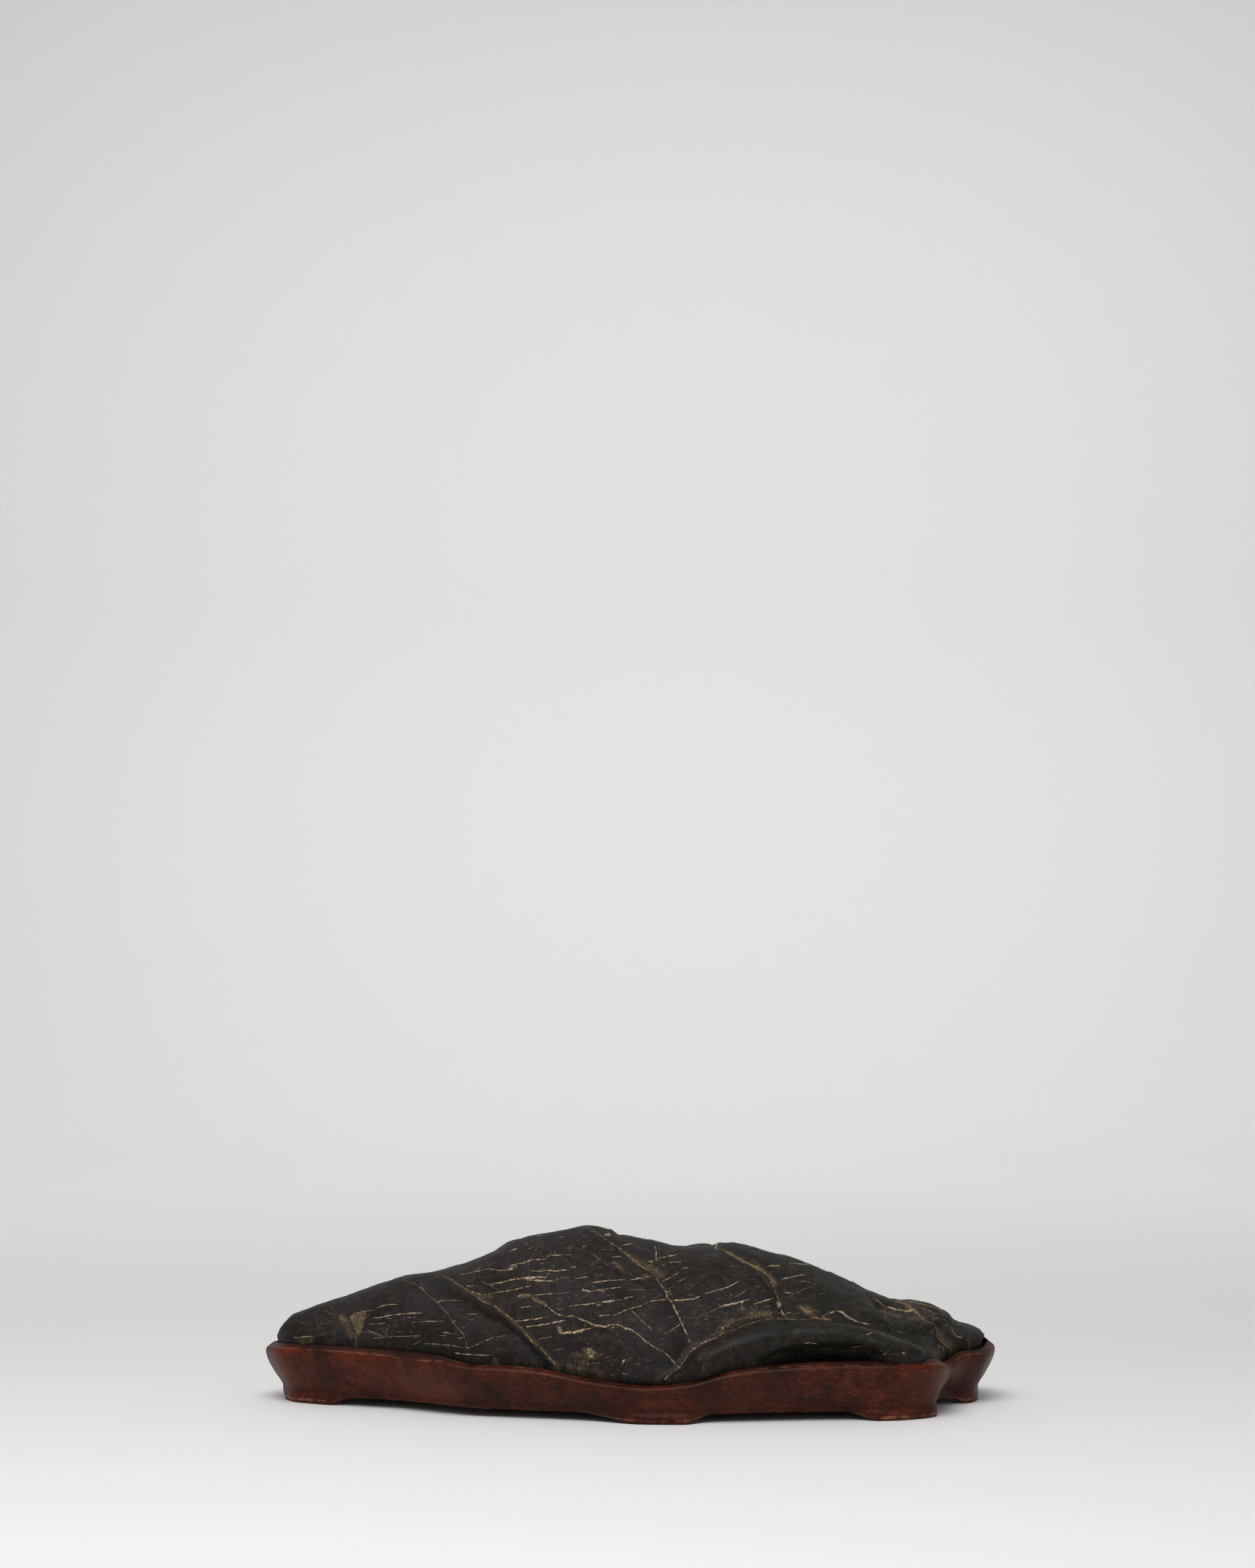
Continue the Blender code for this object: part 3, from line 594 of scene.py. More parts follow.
DASHES = on(LEFT_SHEET, CREAM, [
    (0.2, 0.34, [(515, 338), (560, 333), (610, 322), (680, 315), (765, 311)]),
    (0.12, 0.24, [(460, 305), (520, 296), (565, 275), (600, 268), (650, 268)]),
    (0.2, 0.14, [(500, 367), (540, 366), (580, 363)]),
    (0.16, 0.26, [(715, 357), (760, 355), (800, 352), (865, 356)]),
    (0.14, 0.26, [(545, 434), (620, 430), (690, 428), (760, 425)]),
    (0.2, 0.2, [(775, 465), (855, 468)]),
    (0.2, 0.16, [(865, 408), (940, 418)]),
    (0.16, 0.32, [(855, 470), (900, 473), (945, 480), (1012, 487)]),
    (0.3, 0.24, [(868, 508), (920, 510), (965, 517), (1040, 522), (1120, 523)]),
    (0.18, 0.1, [(838, 256), (880, 247), (920, 247), (975, 250)]),
    (0.1, 0.26, [(1005, 484), (1060, 462), (1100, 443), (1130, 431), (1185, 425)]),
    (0.22, 0.16, [(48, 443), (110, 436), (180, 430), (240, 426), (285, 415)]),
    (0.2, 0.14, [(150, 465), (210, 458), (275, 462)]),
    (0.18, 0.16, [(995, 317), (1045, 317)]),
    (0.14, 0.3, [(955, 118), (1010, 110), (1060, 98), (1100, 88), (1150, 98), (1190, 97), (1240, 88)]),
    (0.1, 0.2, [(1200, 84), (1245, 72), (1305, 55)]),
    (0.16, 0.32, [(1300, 96), (1355, 103), (1390, 96), (1430, 102), (1485, 94)]),
    (0.24, 0.18, [(1325, 46), (1390, 40)]),
    (0.24, 0.34, [(1100, 168), (1160, 158), (1220, 142), (1290, 132), (1350, 128), (1390, 134)]),
    (0.16, 0.34, [(1290, 148), (1350, 147), (1400, 150), (1430, 152)]),
    (0.12, 0.26, [(1055, 222), (1130, 212), (1190, 202), (1250, 188), (1315, 172)]),
    (0.24, 0.24, [(1225, 352), (1280, 348), (1340, 340)]),
    (0.2, 0.24, [(1285, 380), (1350, 372), (1410, 360), (1485, 344)]),
    (0.18, 0.16, [(1265, 283), (1315, 276)]),
    (0.3, 0.2, [(1010, 205), (1040, 212), (1070, 222)]),
    (0.24, 0.1, [(985, 172), (1010, 178), (1040, 170)]),
]) + on(LEFT_SHEET, SANDY, [
    (0.2, 0.1, [(272, 292), (300, 312), (330, 320), (350, 338)]),
    (0.2, 0.24, [(1060, 150), (1100, 172), (1140, 190), (1165, 205)]),
]) + on(MIDDLE_SHEET, CREAM, [
    (0.2, 0.2, [(0, 183), (40, 168)]),
    (0.1, 0.3, [(0, 255), (60, 245), (100, 229), (160, 222)]),
    (0.14, 0.34, [(185, 210), (220, 203), (255, 203)]),
    (0.1, 0.12, [(255, 203), (320, 201)]),
    (0.16, 0.36, [(105, 283), (145, 285), (175, 282), (205, 276), (235, 285), (260, 280), (285, 276)]),
    (0.24, 0.3, [(305, 264), (332, 262)]),
    (0.3, 0.3, [(0, 272), (30, 270)]),
    (0.2, 0.32, [(0, 330), (60, 322), (105, 315), (150, 315)]),
    (0.36, 0.36, [(95, 328), (150, 332), (195, 334)]),
    (0.2, 0.24, [(225, 330), (270, 316), (300, 316)]),
    (0.3, 0.34, [(320, 320), (355, 318), (392, 313)]),
    (0.34, 0.4, [(415, 342), (460, 335), (500, 330), (540, 328), (585, 328)]),
    (0.2, 0.24, [(605, 328), (660, 318), (722, 306)]),
    (0.1, 0.3, [(0, 382), (50, 372), (108, 357)]),
    (0.3, 0.2, [(40, 412), (75, 400), (110, 405), (150, 402), (220, 394)]),
    (0.2, 0.2, [(240, 395), (302, 392)]),
    (0.3, 0.8, [(360, 382), (385, 380), (403, 386)]),
    (0.4, 0.1, [(372, 382), (366, 366)]),
    (0.2, 0.26, [(403, 386), (450, 378), (500, 370), (560, 364)]),
    (0.4, 0.3, [(300, 460), (360, 452), (400, 448), (450, 442)]),
    (0.3, 0.34, [(450, 442), (500, 434), (530, 430), (560, 425)]),
    (0.2, 0.2, [(575, 419), (620, 411)]),
    (0.14, 0.2, [(55, 466), (115, 460)]),
    (0.4, 0.2, [(25, 536), (90, 528), (130, 524), (195, 512)]),
    (0.34, 0.3, [(82, 564), (150, 556), (220, 545), (285, 531)]),
    (0.9, 0.3, [(262, 596), (300, 592), (340, 588), (380, 576), (428, 566)]),
    (0.4, 0.2, [(512, 213), (545, 210), (560, 211)]),
    (0.1, 0.34, [(560, 155), (590, 150), (618, 144)]),
    (0.2, 0.4, [(738, 222), (800, 208), (838, 200)]),
    (0.2, 0.2, [(800, 240), (862, 236)]),
    (0.14, 0.3, [(765, 335), (800, 320), (850, 290)]),
    (0.3, 0.14, [(865, 272), (900, 262)]),
    (0.2, 0.34, [(838, 338), (870, 325), (895, 315)]),
    (0.2, 0.2, [(698, 380), (740, 374)]),
    (0.5, 0.7, [(478, 100), (506, 101)]),
    (0.6, 0.6, [(690, 236), (718, 234)]),
    (0.3, 0.22, [(728, 158), (737, 185), (735, 232)]),
    (0.2, 0.34, [(442, 506), (480, 505), (512, 503)]),
    (0.2, 0.3, [(512, 510), (555, 492), (605, 470), (650, 462)]),
    (0.55, 0.3, [(650, 462), (700, 437), (740, 430), (785, 425)]),
    (0.4, 0.4, [(818, 432), (870, 428), (930, 422), (955, 410)]),
    (0.2, 0.34, [(975, 398), (1020, 385), (1060, 375), (1100, 362), (1150, 335)]),
    (0.14, 0.34, [(775, 598), (815, 580), (862, 545)]),
    (0.3, 0.9, [(1045, 466), (1085, 454), (1120, 448)]),
    (0.8, 0.2, [(1120, 448), (1160, 438), (1205, 424)]),
    (0.34, 0.24, [(1226, 449), (1270, 435), (1325, 419)]),
    (0.5, 1.0, [(578, 728), (566, 746)]),
    (0.2, 0.2, [(398, 832), (455, 828)]),
    (0.2, 0.24, [(145, 626), (180, 618), (215, 612)]),
    (0.2, 0.2, [(215, 683), (270, 672)]),
]) + on(MIDDLE_SHEET, SANDY, [
    (0.16, 0.16, [(455, 178), (545, 172)]),
    (0.2, 0.16, [(590, 378), (650, 376), (690, 378)]),
    (0.12, 0.2, [(955, 503), (1010, 487), (1050, 465)]),
    (0.5, 0.5, [(1104, 400), (1118, 403)]),
    (0.1, 0.26, [(1125, 415), (1160, 400), (1185, 375)]),
    (0.5, 0.4, [(1152, 430), (1162, 455), (1172, 480)]),
    (0.2, 0.2, [(345, 815), (400, 806), (455, 815)]),
]) + on(RIGHT_SHEET, CREAM, [
    (0.3, 0.3, [(282, 190), (345, 187)]),
    (0.2, 0.24, [(410, 176), (480, 180), (505, 183)]),
    (0.34, 0.16, [(345, 258), (385, 250), (430, 240), (475, 232)]),
    (0.3, 0.3, [(365, 325), (410, 328)]),
    (0.2, 0.2, [(400, 335), (410, 365)]),
    (0.24, 0.24, [(465, 585), (500, 583), (535, 590)]),
    (0.2, 0.2, [(785, 541), (825, 531)]),
    (0.5, 0.5, [(860, 647), (885, 655), (905, 660)]),
    (0.4, 0.3, [(880, 632), (905, 630)]),
    (0.34, 0.3, [(968, 632), (985, 640)]),
]) + on(RIGHT_SHEET, SANDY, [
    (0.24, 0.24, [(405, 262), (430, 275), (460, 266), (498, 272)]),
    (0.14, 0.2, [(410, 335), (440, 322), (505, 290)]),
    (0.2, 0.2, [(705, 606), (765, 603)]),
    (0.9, 0.5, [(500, 456), (560, 460), (600, 462)]),
    (0.2, 0.34, [(1218, 500), (1247, 548), (1282, 558)]),
    (0.2, 0.3, [(925, 360), (1010, 372), (1090, 388), (1150, 406), (1188, 432)]),
    (0.16, 0.24, [(1035, 396), (1100, 412), (1140, 432), (1190, 440)]),
    (0.16, 0.2, [(1095, 440), (1150, 456), (1205, 470)]),
])

# Hairlines: thin cracks, filled or empty, that cross the bedding.
HAIRLINES = on(MIDDLE_SHEET, SANDY, [
    (0.16, 0.16, [
        (50, 130), (110, 155), (170, 160), (240, 200), (290, 240), (320, 265), (355, 300), (395, 340),
        (440, 375), (480, 400), (530, 420), (560, 440), (610, 480),
    ]),
    (0.22, 0.14, [(162, 118), (140, 165), (115, 210), (95, 255), (70, 300), (50, 340), (38, 372)]),
    (0.1, 0.24, [
        (290, 150), (340, 170), (400, 188), (445, 215), (480, 245), (520, 265), (570, 280), (610, 300),
        (650, 320), (700, 345), (738, 355), (770, 372),
    ]),
    (0.14, 0.14, [(915, 320), (950, 345), (990, 365), (1030, 383)]),
    (0.16, 0.16, [(862, 520), (940, 515), (1010, 508), (1100, 490), (1140, 495)]),
    (0.14, 0.18, [(860, 400), (900, 370), (940, 340), (985, 300), (1000, 285)]),
    (0.2, 0.14, [(490, 565), (520, 590), (550, 625), (570, 660), (600, 690)]),
    (0.12, 0.12, [(1070, 620), (1105, 655), (1118, 700), (1110, 740)]),
    (0.14, 0.14, [(930, 515), (970, 560), (1010, 600)]),
    (0.2, 0.16, [(160, 335), (175, 360), (180, 380)]),
    (0.14, 0.14, [(770, 225), (800, 190), (850, 175)]),
    (0.14, 0.2, [(560, 770), (590, 730), (640, 690)]),
]) + on(MIDDLE_SHEET, CREAM, [
    (0.2, 0.3, [(610, 480), (640, 505), (665, 535), (700, 560), (716, 582)]),
    (0.3, 0.2, [(400, 188), (430, 205), (450, 225)]),
    (0.16, 0.1, [(968, 748), (975, 775), (980, 790)]),
    (0.16, 0.1, [(1002, 742), (1012, 760)]),
]) + on(RIGHT_SHEET, SANDY, [
    (0.16, 0.1, [(499, 478), (546, 508), (576, 545), (582, 586)]),
    (0.14, 0.14, [(945, 568), (957, 592)]),
    (0.16, 0.16, [(130, 165), (200, 185), (235, 215), (270, 262), (300, 310)]),
    (0.1, 0.16, [(515, 285), (530, 330), (560, 355)]),
]) + on(LEFT_SHEET, CREAM, [
    (0.14, 0.1, [(560, 380), (572, 405), (590, 425)]),
    (0.14, 0.1, [(592, 385), (590, 410), (598, 440)]),
    (0.14, 0.14, [(235, 350), (244, 380), (246, 400)]),
])

# Stars: where a vein was struck or cracked, fine lines spread from a point. Each is its sheet, its
# centre, its inner and outer reach, the angles it spans in degrees, and how many lines it has.
STAR_WIDTHS = (0.2, 0.06)
STAR_STARTS = (0.2, 1.0)  # where a line starts, as a share of the inner reach
STAR_LENGTHS = (0.15, 1.0)  # and how long it is, as a share of the way to the outer reach
STARS = [
    (MIDDLE_SHEET, (385, 694), (14, 80), (-20, 75), 15),
    (MIDDLE_SHEET, (380, 750), (14, 90), (-60, 30), 12),
    (MIDDLE_SHEET, (330, 800), (10, 110), (40, 100), 14),
    (MIDDLE_SHEET, (752, 250), (10, 60), (0, 360), 10),
    (MIDDLE_SHEET, (560, 262), (8, 55), (0, 360), 9),
    (RIGHT_SHEET, (225, 436), (14, 90), (0, 360), 22),
    (RIGHT_SHEET, (60, 500), (10, 85), (0, 360), 12),
    (RIGHT_SHEET, (490, 415), (10, 60), (20, 160), 10),
    (RIGHT_SHEET, (1090, 460), (10, 70), (90, 270), 12),
    (RIGHT_SHEET, (1180, 600), (10, 70), (150, 330), 10),
    (LEFT_SHEET, (440, 360), (20, 110), (0, 360), 16),
]
star_draw = random.Random(5)
for sheet, (x, y), (inner, outer), (first, last), count in STARS:
    for _ in range(count):
        angle = math.radians(star_draw.uniform(first, last))
        start = inner * star_draw.uniform(*STAR_STARTS)
        end = start + (outer - inner) * star_draw.uniform(*STAR_LENGTHS)
        ends = [(x + r * math.cos(angle), y - r * math.sin(angle)) for r in (start, end)]
        HAIRLINES.append((sheet, STAR_WIDTHS, star_draw.choice([CREAM, SANDY]), ends))

# Veinlets: boxes where fine, short strokes lie close together along the beds. Each is its sheet,
# two corners, the strokes' slope in degrees, and how many there are.
VEINLETS = [
    (MIDDLE_SHEET, (-280, 210), (240, 480), 9, 60),
    (MIDDLE_SHEET, (60, 70), (440, 260), 8, 45),
    (MIDDLE_SHEET, (240, 260), (560, 640), 7, 45),
    (MIDDLE_SHEET, (620, 250), (1000, 560), 14, 45),
    (MIDDLE_SHEET, (280, 700), (640, 830), 4, 30),
    (LEFT_SHEET, (150, 330), (1000, 560), 4, 60),
    (RIGHT_SHEET, (0, 150), (420, 450), 12, 40),
    (RIGHT_SHEET, (860, 350), (1200, 560), -18, 36),
]
VEINLET_CLEARANCE = 1.5  # mm that a veinlet keeps from every hairline drawn before it
VEINLET_TURN = 7  # degrees, the usual spread of their slopes
VEINLET_LENGTHS = (10, 46)  # in the sheet's units, as the bend
VEINLET_BEND = 2.5
VEINLET_WIDTHS = (0.14, 0.34)
veinlet_draw = random.Random(11)
taken = np.vstack([sheet.on_pane(line) for sheet, _, _, line in HAIRLINES])
for sheet, (left, top), (right, bottom), slope, count in VEINLETS:
    for _ in range(count):
        x, y = veinlet_draw.uniform(left, right), veinlet_draw.uniform(top, bottom)
        angle = math.radians(slope + veinlet_draw.gauss(0, VEINLET_TURN))
        reach = veinlet_draw.uniform(*VEINLET_LENGTHS)
        bend = veinlet_draw.uniform(-VEINLET_BEND, VEINLET_BEND)
        middle = (x + reach / 2 * math.cos(angle), y - reach / 2 * math.sin(angle) + bend)
        end = (x + reach * math.cos(angle), y - reach * math.sin(angle))
        width = veinlet_draw.uniform(*VEINLET_WIDTHS)
        tone = veinlet_draw.choice([CREAM, SANDY])
        steps = np.linspace(0, 1, 6)[:, None]
        places = sheet.on_pane((x, y) + steps * (np.array(end) - (x, y)))
        if np.linalg.norm(places[:, None] - taken[None], axis=2).min() > VEINLET_CLEARANCE:
            taken = np.vstack([taken, places])
            HAIRLINES.append((sheet, (width, width / 2), tone, [(x, y), middle, end]))

# Crusts: places where sandy calcite clings or was chipped open, as broad strokes with soft edges.
CRUSTS = on(LEFT_SHEET, MAUVE, [
    (1.6, 3.0, [(84, 318), (120, 290), (170, 272), (240, 262), (330, 236), (500, 185)]),
]) + on(LEFT_SHEET, SANDY, [
    (2.4, 1.2, [(430, 420), (440, 460), (455, 490)]),
    (6.5, 4.5, [(360, 340), (392, 372), (412, 420)]),
    (1.6, 2.6, [(150, 440), (200, 425), (240, 470), (300, 455)]),
    (1.5, 2.8, [(900, 140), (1021, 215), (1131, 276), (1264, 390), (1374, 500), (1451, 580)]),
    (2.6, 3.4, [(985, 195), (1060, 230), (1110, 225)]),
    (2.2, 2.4, [(1130, 540), (1180, 560), (1260, 555), (1330, 560)]),
]) + on(LEFT_SHEET, CREAM, [
    (1.2, 0.8, [(495, 400), (560, 425), (600, 432)]),
]) + on(MIDDLE_SHEET, CREAM, [
    (1.8, 2.4, [(50, 405), (110, 412), (180, 450)]),
    (2.6, 1.8, [(525, 240), (565, 275)]),
]) + on(MIDDLE_SHEET, SANDY, [
    (2.4, 4.6, [(560, 180), (640, 232), (700, 262), (765, 300)]),
    (3.4, 2.4, [(330, 700), (400, 720), (470, 700)]),
    (3.4, 3.0, [(300, 760), (380, 770), (470, 800)]),
    (2.4, 2.6, [(1046, 600), (1066, 560)]),
]) + on(MIDDLE_SHEET, MAUVE, [
    (4.4, 5.0, [(850, 740), (900, 680), (980, 625), (1060, 580)]),
    (3.4, 2.0, [(700, 850), (780, 800), (850, 755)]),
]) + on(RIGHT_SHEET, SANDY, [
    (1.6, 3.4, [(45, 103), (152, 163), (224, 198), (284, 239), (325, 282)]),
    (3.6, 2.4, [(60, 480), (120, 470), (190, 450)]),
    (3.2, 3.6, [(450, 400), (480, 430), (515, 425)]),
    (2.4, 2.0, [(505, 455), (600, 465)]),
    (2.0, 3.6, [(932, 366), (1000, 385), (1063, 446), (1090, 474)]),
    (2.2, 4.6, [(1146, 511), (1175, 560), (1215, 600)]),
    (4.4, 3.6, [(1135, 640), (1190, 650), (1230, 625)]),
    (1.8, 2.4, [(1000, 455), (1050, 460)]),
    (2.0, 1.2, [(1310, 575), (1325, 600)]),
    (0.8, 1.4, [(860, 625), (910, 645), (990, 640)]),
    (1.4, 2.0, [(860, 420), (930, 440), (960, 455)]),
]) + on(RIGHT_SHEET, CREAM, [
    (3.4, 4.0, [(195, 450), (240, 435), (285, 440)]),
    (1.4, 2.0, [(46, 495), (52, 530)]),
])

# Patches: outlines of places where a broad face of calcite shows, with the tone of its face.
PATCHES = [
    (LEFT_SHEET, SANDY, [
        (400, 330), (430, 306), (489, 303), (482, 340), (466, 395), (455, 425), (432, 416), (420, 372),
    ]),
    (LEFT_SHEET, CREAM, [(338, 324), (362, 318), (384, 336), (372, 352), (352, 345)]),
    (LEFT_SHEET, CREAM, [(460, 299), (489, 303), (484, 330), (470, 332), (462, 318)]),
    (MIDDLE_SHEET, CREAM, [(350, 668), (415, 668), (432, 690), (420, 725), (395, 712), (375, 690)]),
    (MIDDLE_SHEET, SANDY, [(325, 735), (375, 720), (405, 745), (400, 775), (380, 760), (350, 750)]),
    (MIDDLE_SHEET, CREAM, [(236, 556), (256, 562), (275, 592), (262, 604), (246, 590)]),
    (RIGHT_SHEET, CREAM, [(322, 370), (346, 366), (352, 400), (334, 410)]),
    (RIGHT_SHEET, SANDY, [(440, 395), (500, 392), (512, 430), (540, 455), (505, 460), (470, 430)]),
]
print(len(MAIN_VEINS), "main veins,", len(DASHES), "dashes,", len(HAIRLINES), "hairlines")

# %% [markdown]
# The back isn't seen from in front, but the same beds run through the stone. Its long veins
# start where the front ones cross the crest, and its dashes follow the same gentle rise, each
# placed by a seeded draw so that the script gives the same stone each time.

# %% Veins of the back, as (half width, tone, line of (x, z))
BACK_VEINS = [
    ((0.4, 0.9), SANDY, [(-22, 95), (-28, 82), (-26, 68), (-12, 56), (-6, 44), (-10, 28)]),
    ((0.4, 1.1), SANDY, [(-98, 71), (-96, 60), (-104, 48), (-112, 34), (-116, 24)]),
    ((0.8, 0.3), CREAM, [(46, 83), (40, 70), (44, 58), (62, 50), (76, 40), (82, 26)]),
    ((0.3, 0.4), MAUVE, [(-119, 67), (-124, 52), (-132, 42), (-136, 28)]),
    ((0.3, 0.5), CREAM, [(110, 66), (100, 58), (84, 56), (60, 62), (36, 60), (14, 52), (2, 50)]),
    ((0.5, 0.4), SANDY, [(134, 55), (140, 48), (150, 38), (148, 28)]),
]
BEDDING_SLOPE = 0.15  # rise per mm to the right
BACK_DASH_COUNT = 80
BACK_X = (-165, 160)  # mm, where a dash may start
BACK_Z = (30, 92)
BELOW_CREST = 3  # mm that it keeps below the crest
DASH_LENGTHS = (6, 26)
DASH_STEP = 8  # mm between the places where it bends
DASH_WANDER = 0.6
dash_draw = random.Random(12)
BACK_DASHES = []
while len(BACK_DASHES) < BACK_DASH_COUNT:
    x, z = dash_draw.uniform(*BACK_X), dash_draw.uniform(*BACK_Z)
    if z < float(smooth_value(CREST, np.array([x]))[0, 1]) - BELOW_CREST:
        length = dash_draw.uniform(*DASH_LENGTHS)
        steps = 2 + int(length / DASH_STEP)
        line = []
        for step in range(steps + 1):
            gone = length * step / steps
            up = BEDDING_SLOPE * gone + dash_draw.uniform(-DASH_WANDER, DASH_WANDER)
            line.append((x + gone, z + up))
        widths = (dash_draw.uniform(0.1, 0.3), dash_draw.uniform(0.2, 0.4))
        BACK_DASHES.append((widths, dash_draw.choice([CREAM, CREAM, SANDY]), line))
BACK_CRUSTS = [
    ((2.0, 3.5), SANDY, [(-28, 82), (-26, 68), (-12, 56)]),
    ((2.5, 4.0), SANDY, [(-96, 60), (-104, 48), (-112, 34)]),
    ((3.0, 2.5), SANDY, [(44, 58), (62, 50), (76, 40)]),
    ((3.5, 4.0), SANDY, [(134, 55), (140, 48), (150, 38)]),
    ((3.0, 3.0), MAUVE, [(100, 58), (84, 56), (60, 62)]),
]
print(len(BACK_DASHES), "dashes on the back")

# %% [markdown]
# ## Making the stone
#
# The sphere's points are moved to the mountain, then pushed along their normals by the relief,
# by shallow bedding ledges and by fine weathering. The vein fields are stored on the points as
# attributes, with two more: how much sandy crust clings there, and how worn and smooth it is.

# %% Build the stone's mesh
STONE_AROUND = (112, 44, 12)  # segments of the front slope, the back slope and the underside
STONE_ALONG = 590
FRONT_BLEND = 0.12  # cosine of the turn over which the front's relief gives way to the back's
RELIEF_FROM_RIM = (-0.5, 2.5)  # mm above the rim over which the relief sets in
RELIEF_TO_CREST = (0.9, 0.99)  # sine of the turn over which it stops, so that the skyline stays
RELIEF_FROM_TIP = 0.04  # share of the length
RIM_SHADOW = 1.5  # mm that the stone draws in where it meets the rim
RIM_SHADOW_AT = 0.3  # mm above the rim
RIM_SHADOW_REACH = 2.0
# Painted shade: the stone's colour darkens in hollows and at its edge along the rim.
HOLLOW_DEPTHS = (1.5, 5.0)  # mm of relief over which a hollow is darkened as painted shade
HOLLOW_SHADE = 0.7
RIM_SHADE_REACH = (0.8, 4.5)  # mm above the rim
ROLL_WORN = 9  # mm from the roll's crest within which it is worn smooth
LEDGE_SPACING = 6.5  # mm between beds that stand out
LEDGE_DEPTH = 0.5
LEDGE_TREAD = 0.88  # share of the spacing; the rest is the step back
LEDGE_WAVES = (2.0, 30.0, 3.0)  # how far the beds wave, over what length, and the noise's seed
LEDGE_PATCHES = (13.0, 5.0)  # size of the places where they show, and the noise's seed
POCKS = [(4.2, 0.22), (1.9, 0.12)]
SMOOTH_KEEPS = 0.15  # share of the ledges and pocks that is left where the stone is worn smooth
REACH = 8.0  # mm from a vein's box within which its distance matters
FAR = 9.0  # mm, stored where no vein is near
VEIN_MARGIN = 0.7  # mm past a vein's edge where its field is still used
VEIN_AT_END = 0.3  # share of its width that a vein keeps at its ends
END_FALL = 0.6  # how fast the stored half width falls past a vein's end
EDGE_FALL = 2.0  # and past its margin


def pane_of(points):
    """Where points in the row frame, in mm, fall on the upright pane at y = 0, seen from the eye."""
    reach = -EYE[1] / (points[:, 1] - EYE[1])
    return EYE[[0, 2]] + (points[:, [0, 2]] - EYE[[0, 2]]) * reach[:, None]


def vein_field(flat, veins):
    """(side, half width, tone) at each 2D point, for the vein whose edge is nearest. Past a vein's
    ends and away from its edge the half width falls below 0, so that nothing is drawn there."""
    field = np.tile([FAR, -FAR, 0.0], (len(flat), 1))
    best = np.full(len(flat), -FAR)
    for (start_width, end_width), tone, line in veins:
        low, high = line.min(axis=0) - REACH, line.max(axis=0) + REACH
        near = np.flatnonzero(((flat > low) & (flat < high)).all(axis=1))
        if not len(near):
            continue
        gap, side, share, beyond = line_field(flat[near], line, smooth=0)
        width = start_width + (end_width - start_width) * share
        width *= VEIN_AT_END + (1 - VEIN_AT_END) * np.sqrt(np.clip(4 * share * (1 - share), 0, 1))
        width = width - END_FALL * beyond - EDGE_FALL * np.clip(gap - width - VEIN_MARGIN, 0, None)
        inside = width - gap
        better = inside > best[near]
        chosen = near[better]
        best[chosen] = inside[better]
        field[chosen] = np.column_stack([side, width, np.full(len(near), tone)])[better]
    return field


def patch_field(flat, patches):
    """(distance inside the outline in mm, tone) of the patch that covers each 2D point best."""
    field = np.tile([-FAR, 0.0], (len(flat), 1))
    for tone, outline in patches:
        closed = np.vstack([outline, outline[:1]])
        gap, _, _, _ = line_field(flat, closed, smooth=0)
        inside = np.zeros(len(flat), bool)
        for a, b in zip(closed[:-1], closed[1:]):
            crosses = (a[1] > flat[:, 1]) != (b[1] > flat[:, 1])
            rise = b[1] - a[1] if b[1] != a[1] else 1e-9
            inside ^= crosses & (flat[:, 0] < a[0] + (flat[:, 1] - a[1]) / rise * (b[0] - a[0]))
        depth = np.where(inside, gap, -gap)
        better = depth > field[:, 0]
        field[better] = np.column_stack([depth, np.full(len(flat), tone)])[better]
    return field


def crust_field(flat, crusts):
    """(strength, tone) of the strongest crust at each 2D point: 1 along its line, 0 at its edge."""
    field = np.zeros((len(flat), 2))
    for (start_width, end_width), tone, line in crusts:
        gap, _, share, _ = line_field(flat, line, smooth=0)
        strength = 1 - gap / (start_width + (end_width - start_width) * share)
        stronger = strength > field[:, 0]
        field[stronger] = np.column_stack([strength, np.full(len(flat), tone)])[stronger]
    return field


def drawn(strokes):
    """Strokes of the front, with their lines moved from their sheets to the pane."""
    return [(widths, tone, sheet.on_pane(line)) for sheet, widths, tone, line in strokes]


def as_arrays(strokes):
    """Strokes of the back, whose lines are in mm already."""
    return [(widths, tone, np.array(line, float)) for widths, tone, line in strokes]


def store(mesh, name, values):
    """Keeps one number, or one row of three, for each point of the mesh as an attribute."""
    values = np.asarray(values, np.float32)
    kind, key = ("FLOAT", "value") if values.ndim == 1 else ("FLOAT_VECTOR", "vector")
    mesh.attributes.new(name, kind, "POINT").data.foreach_set(key, values.ravel())


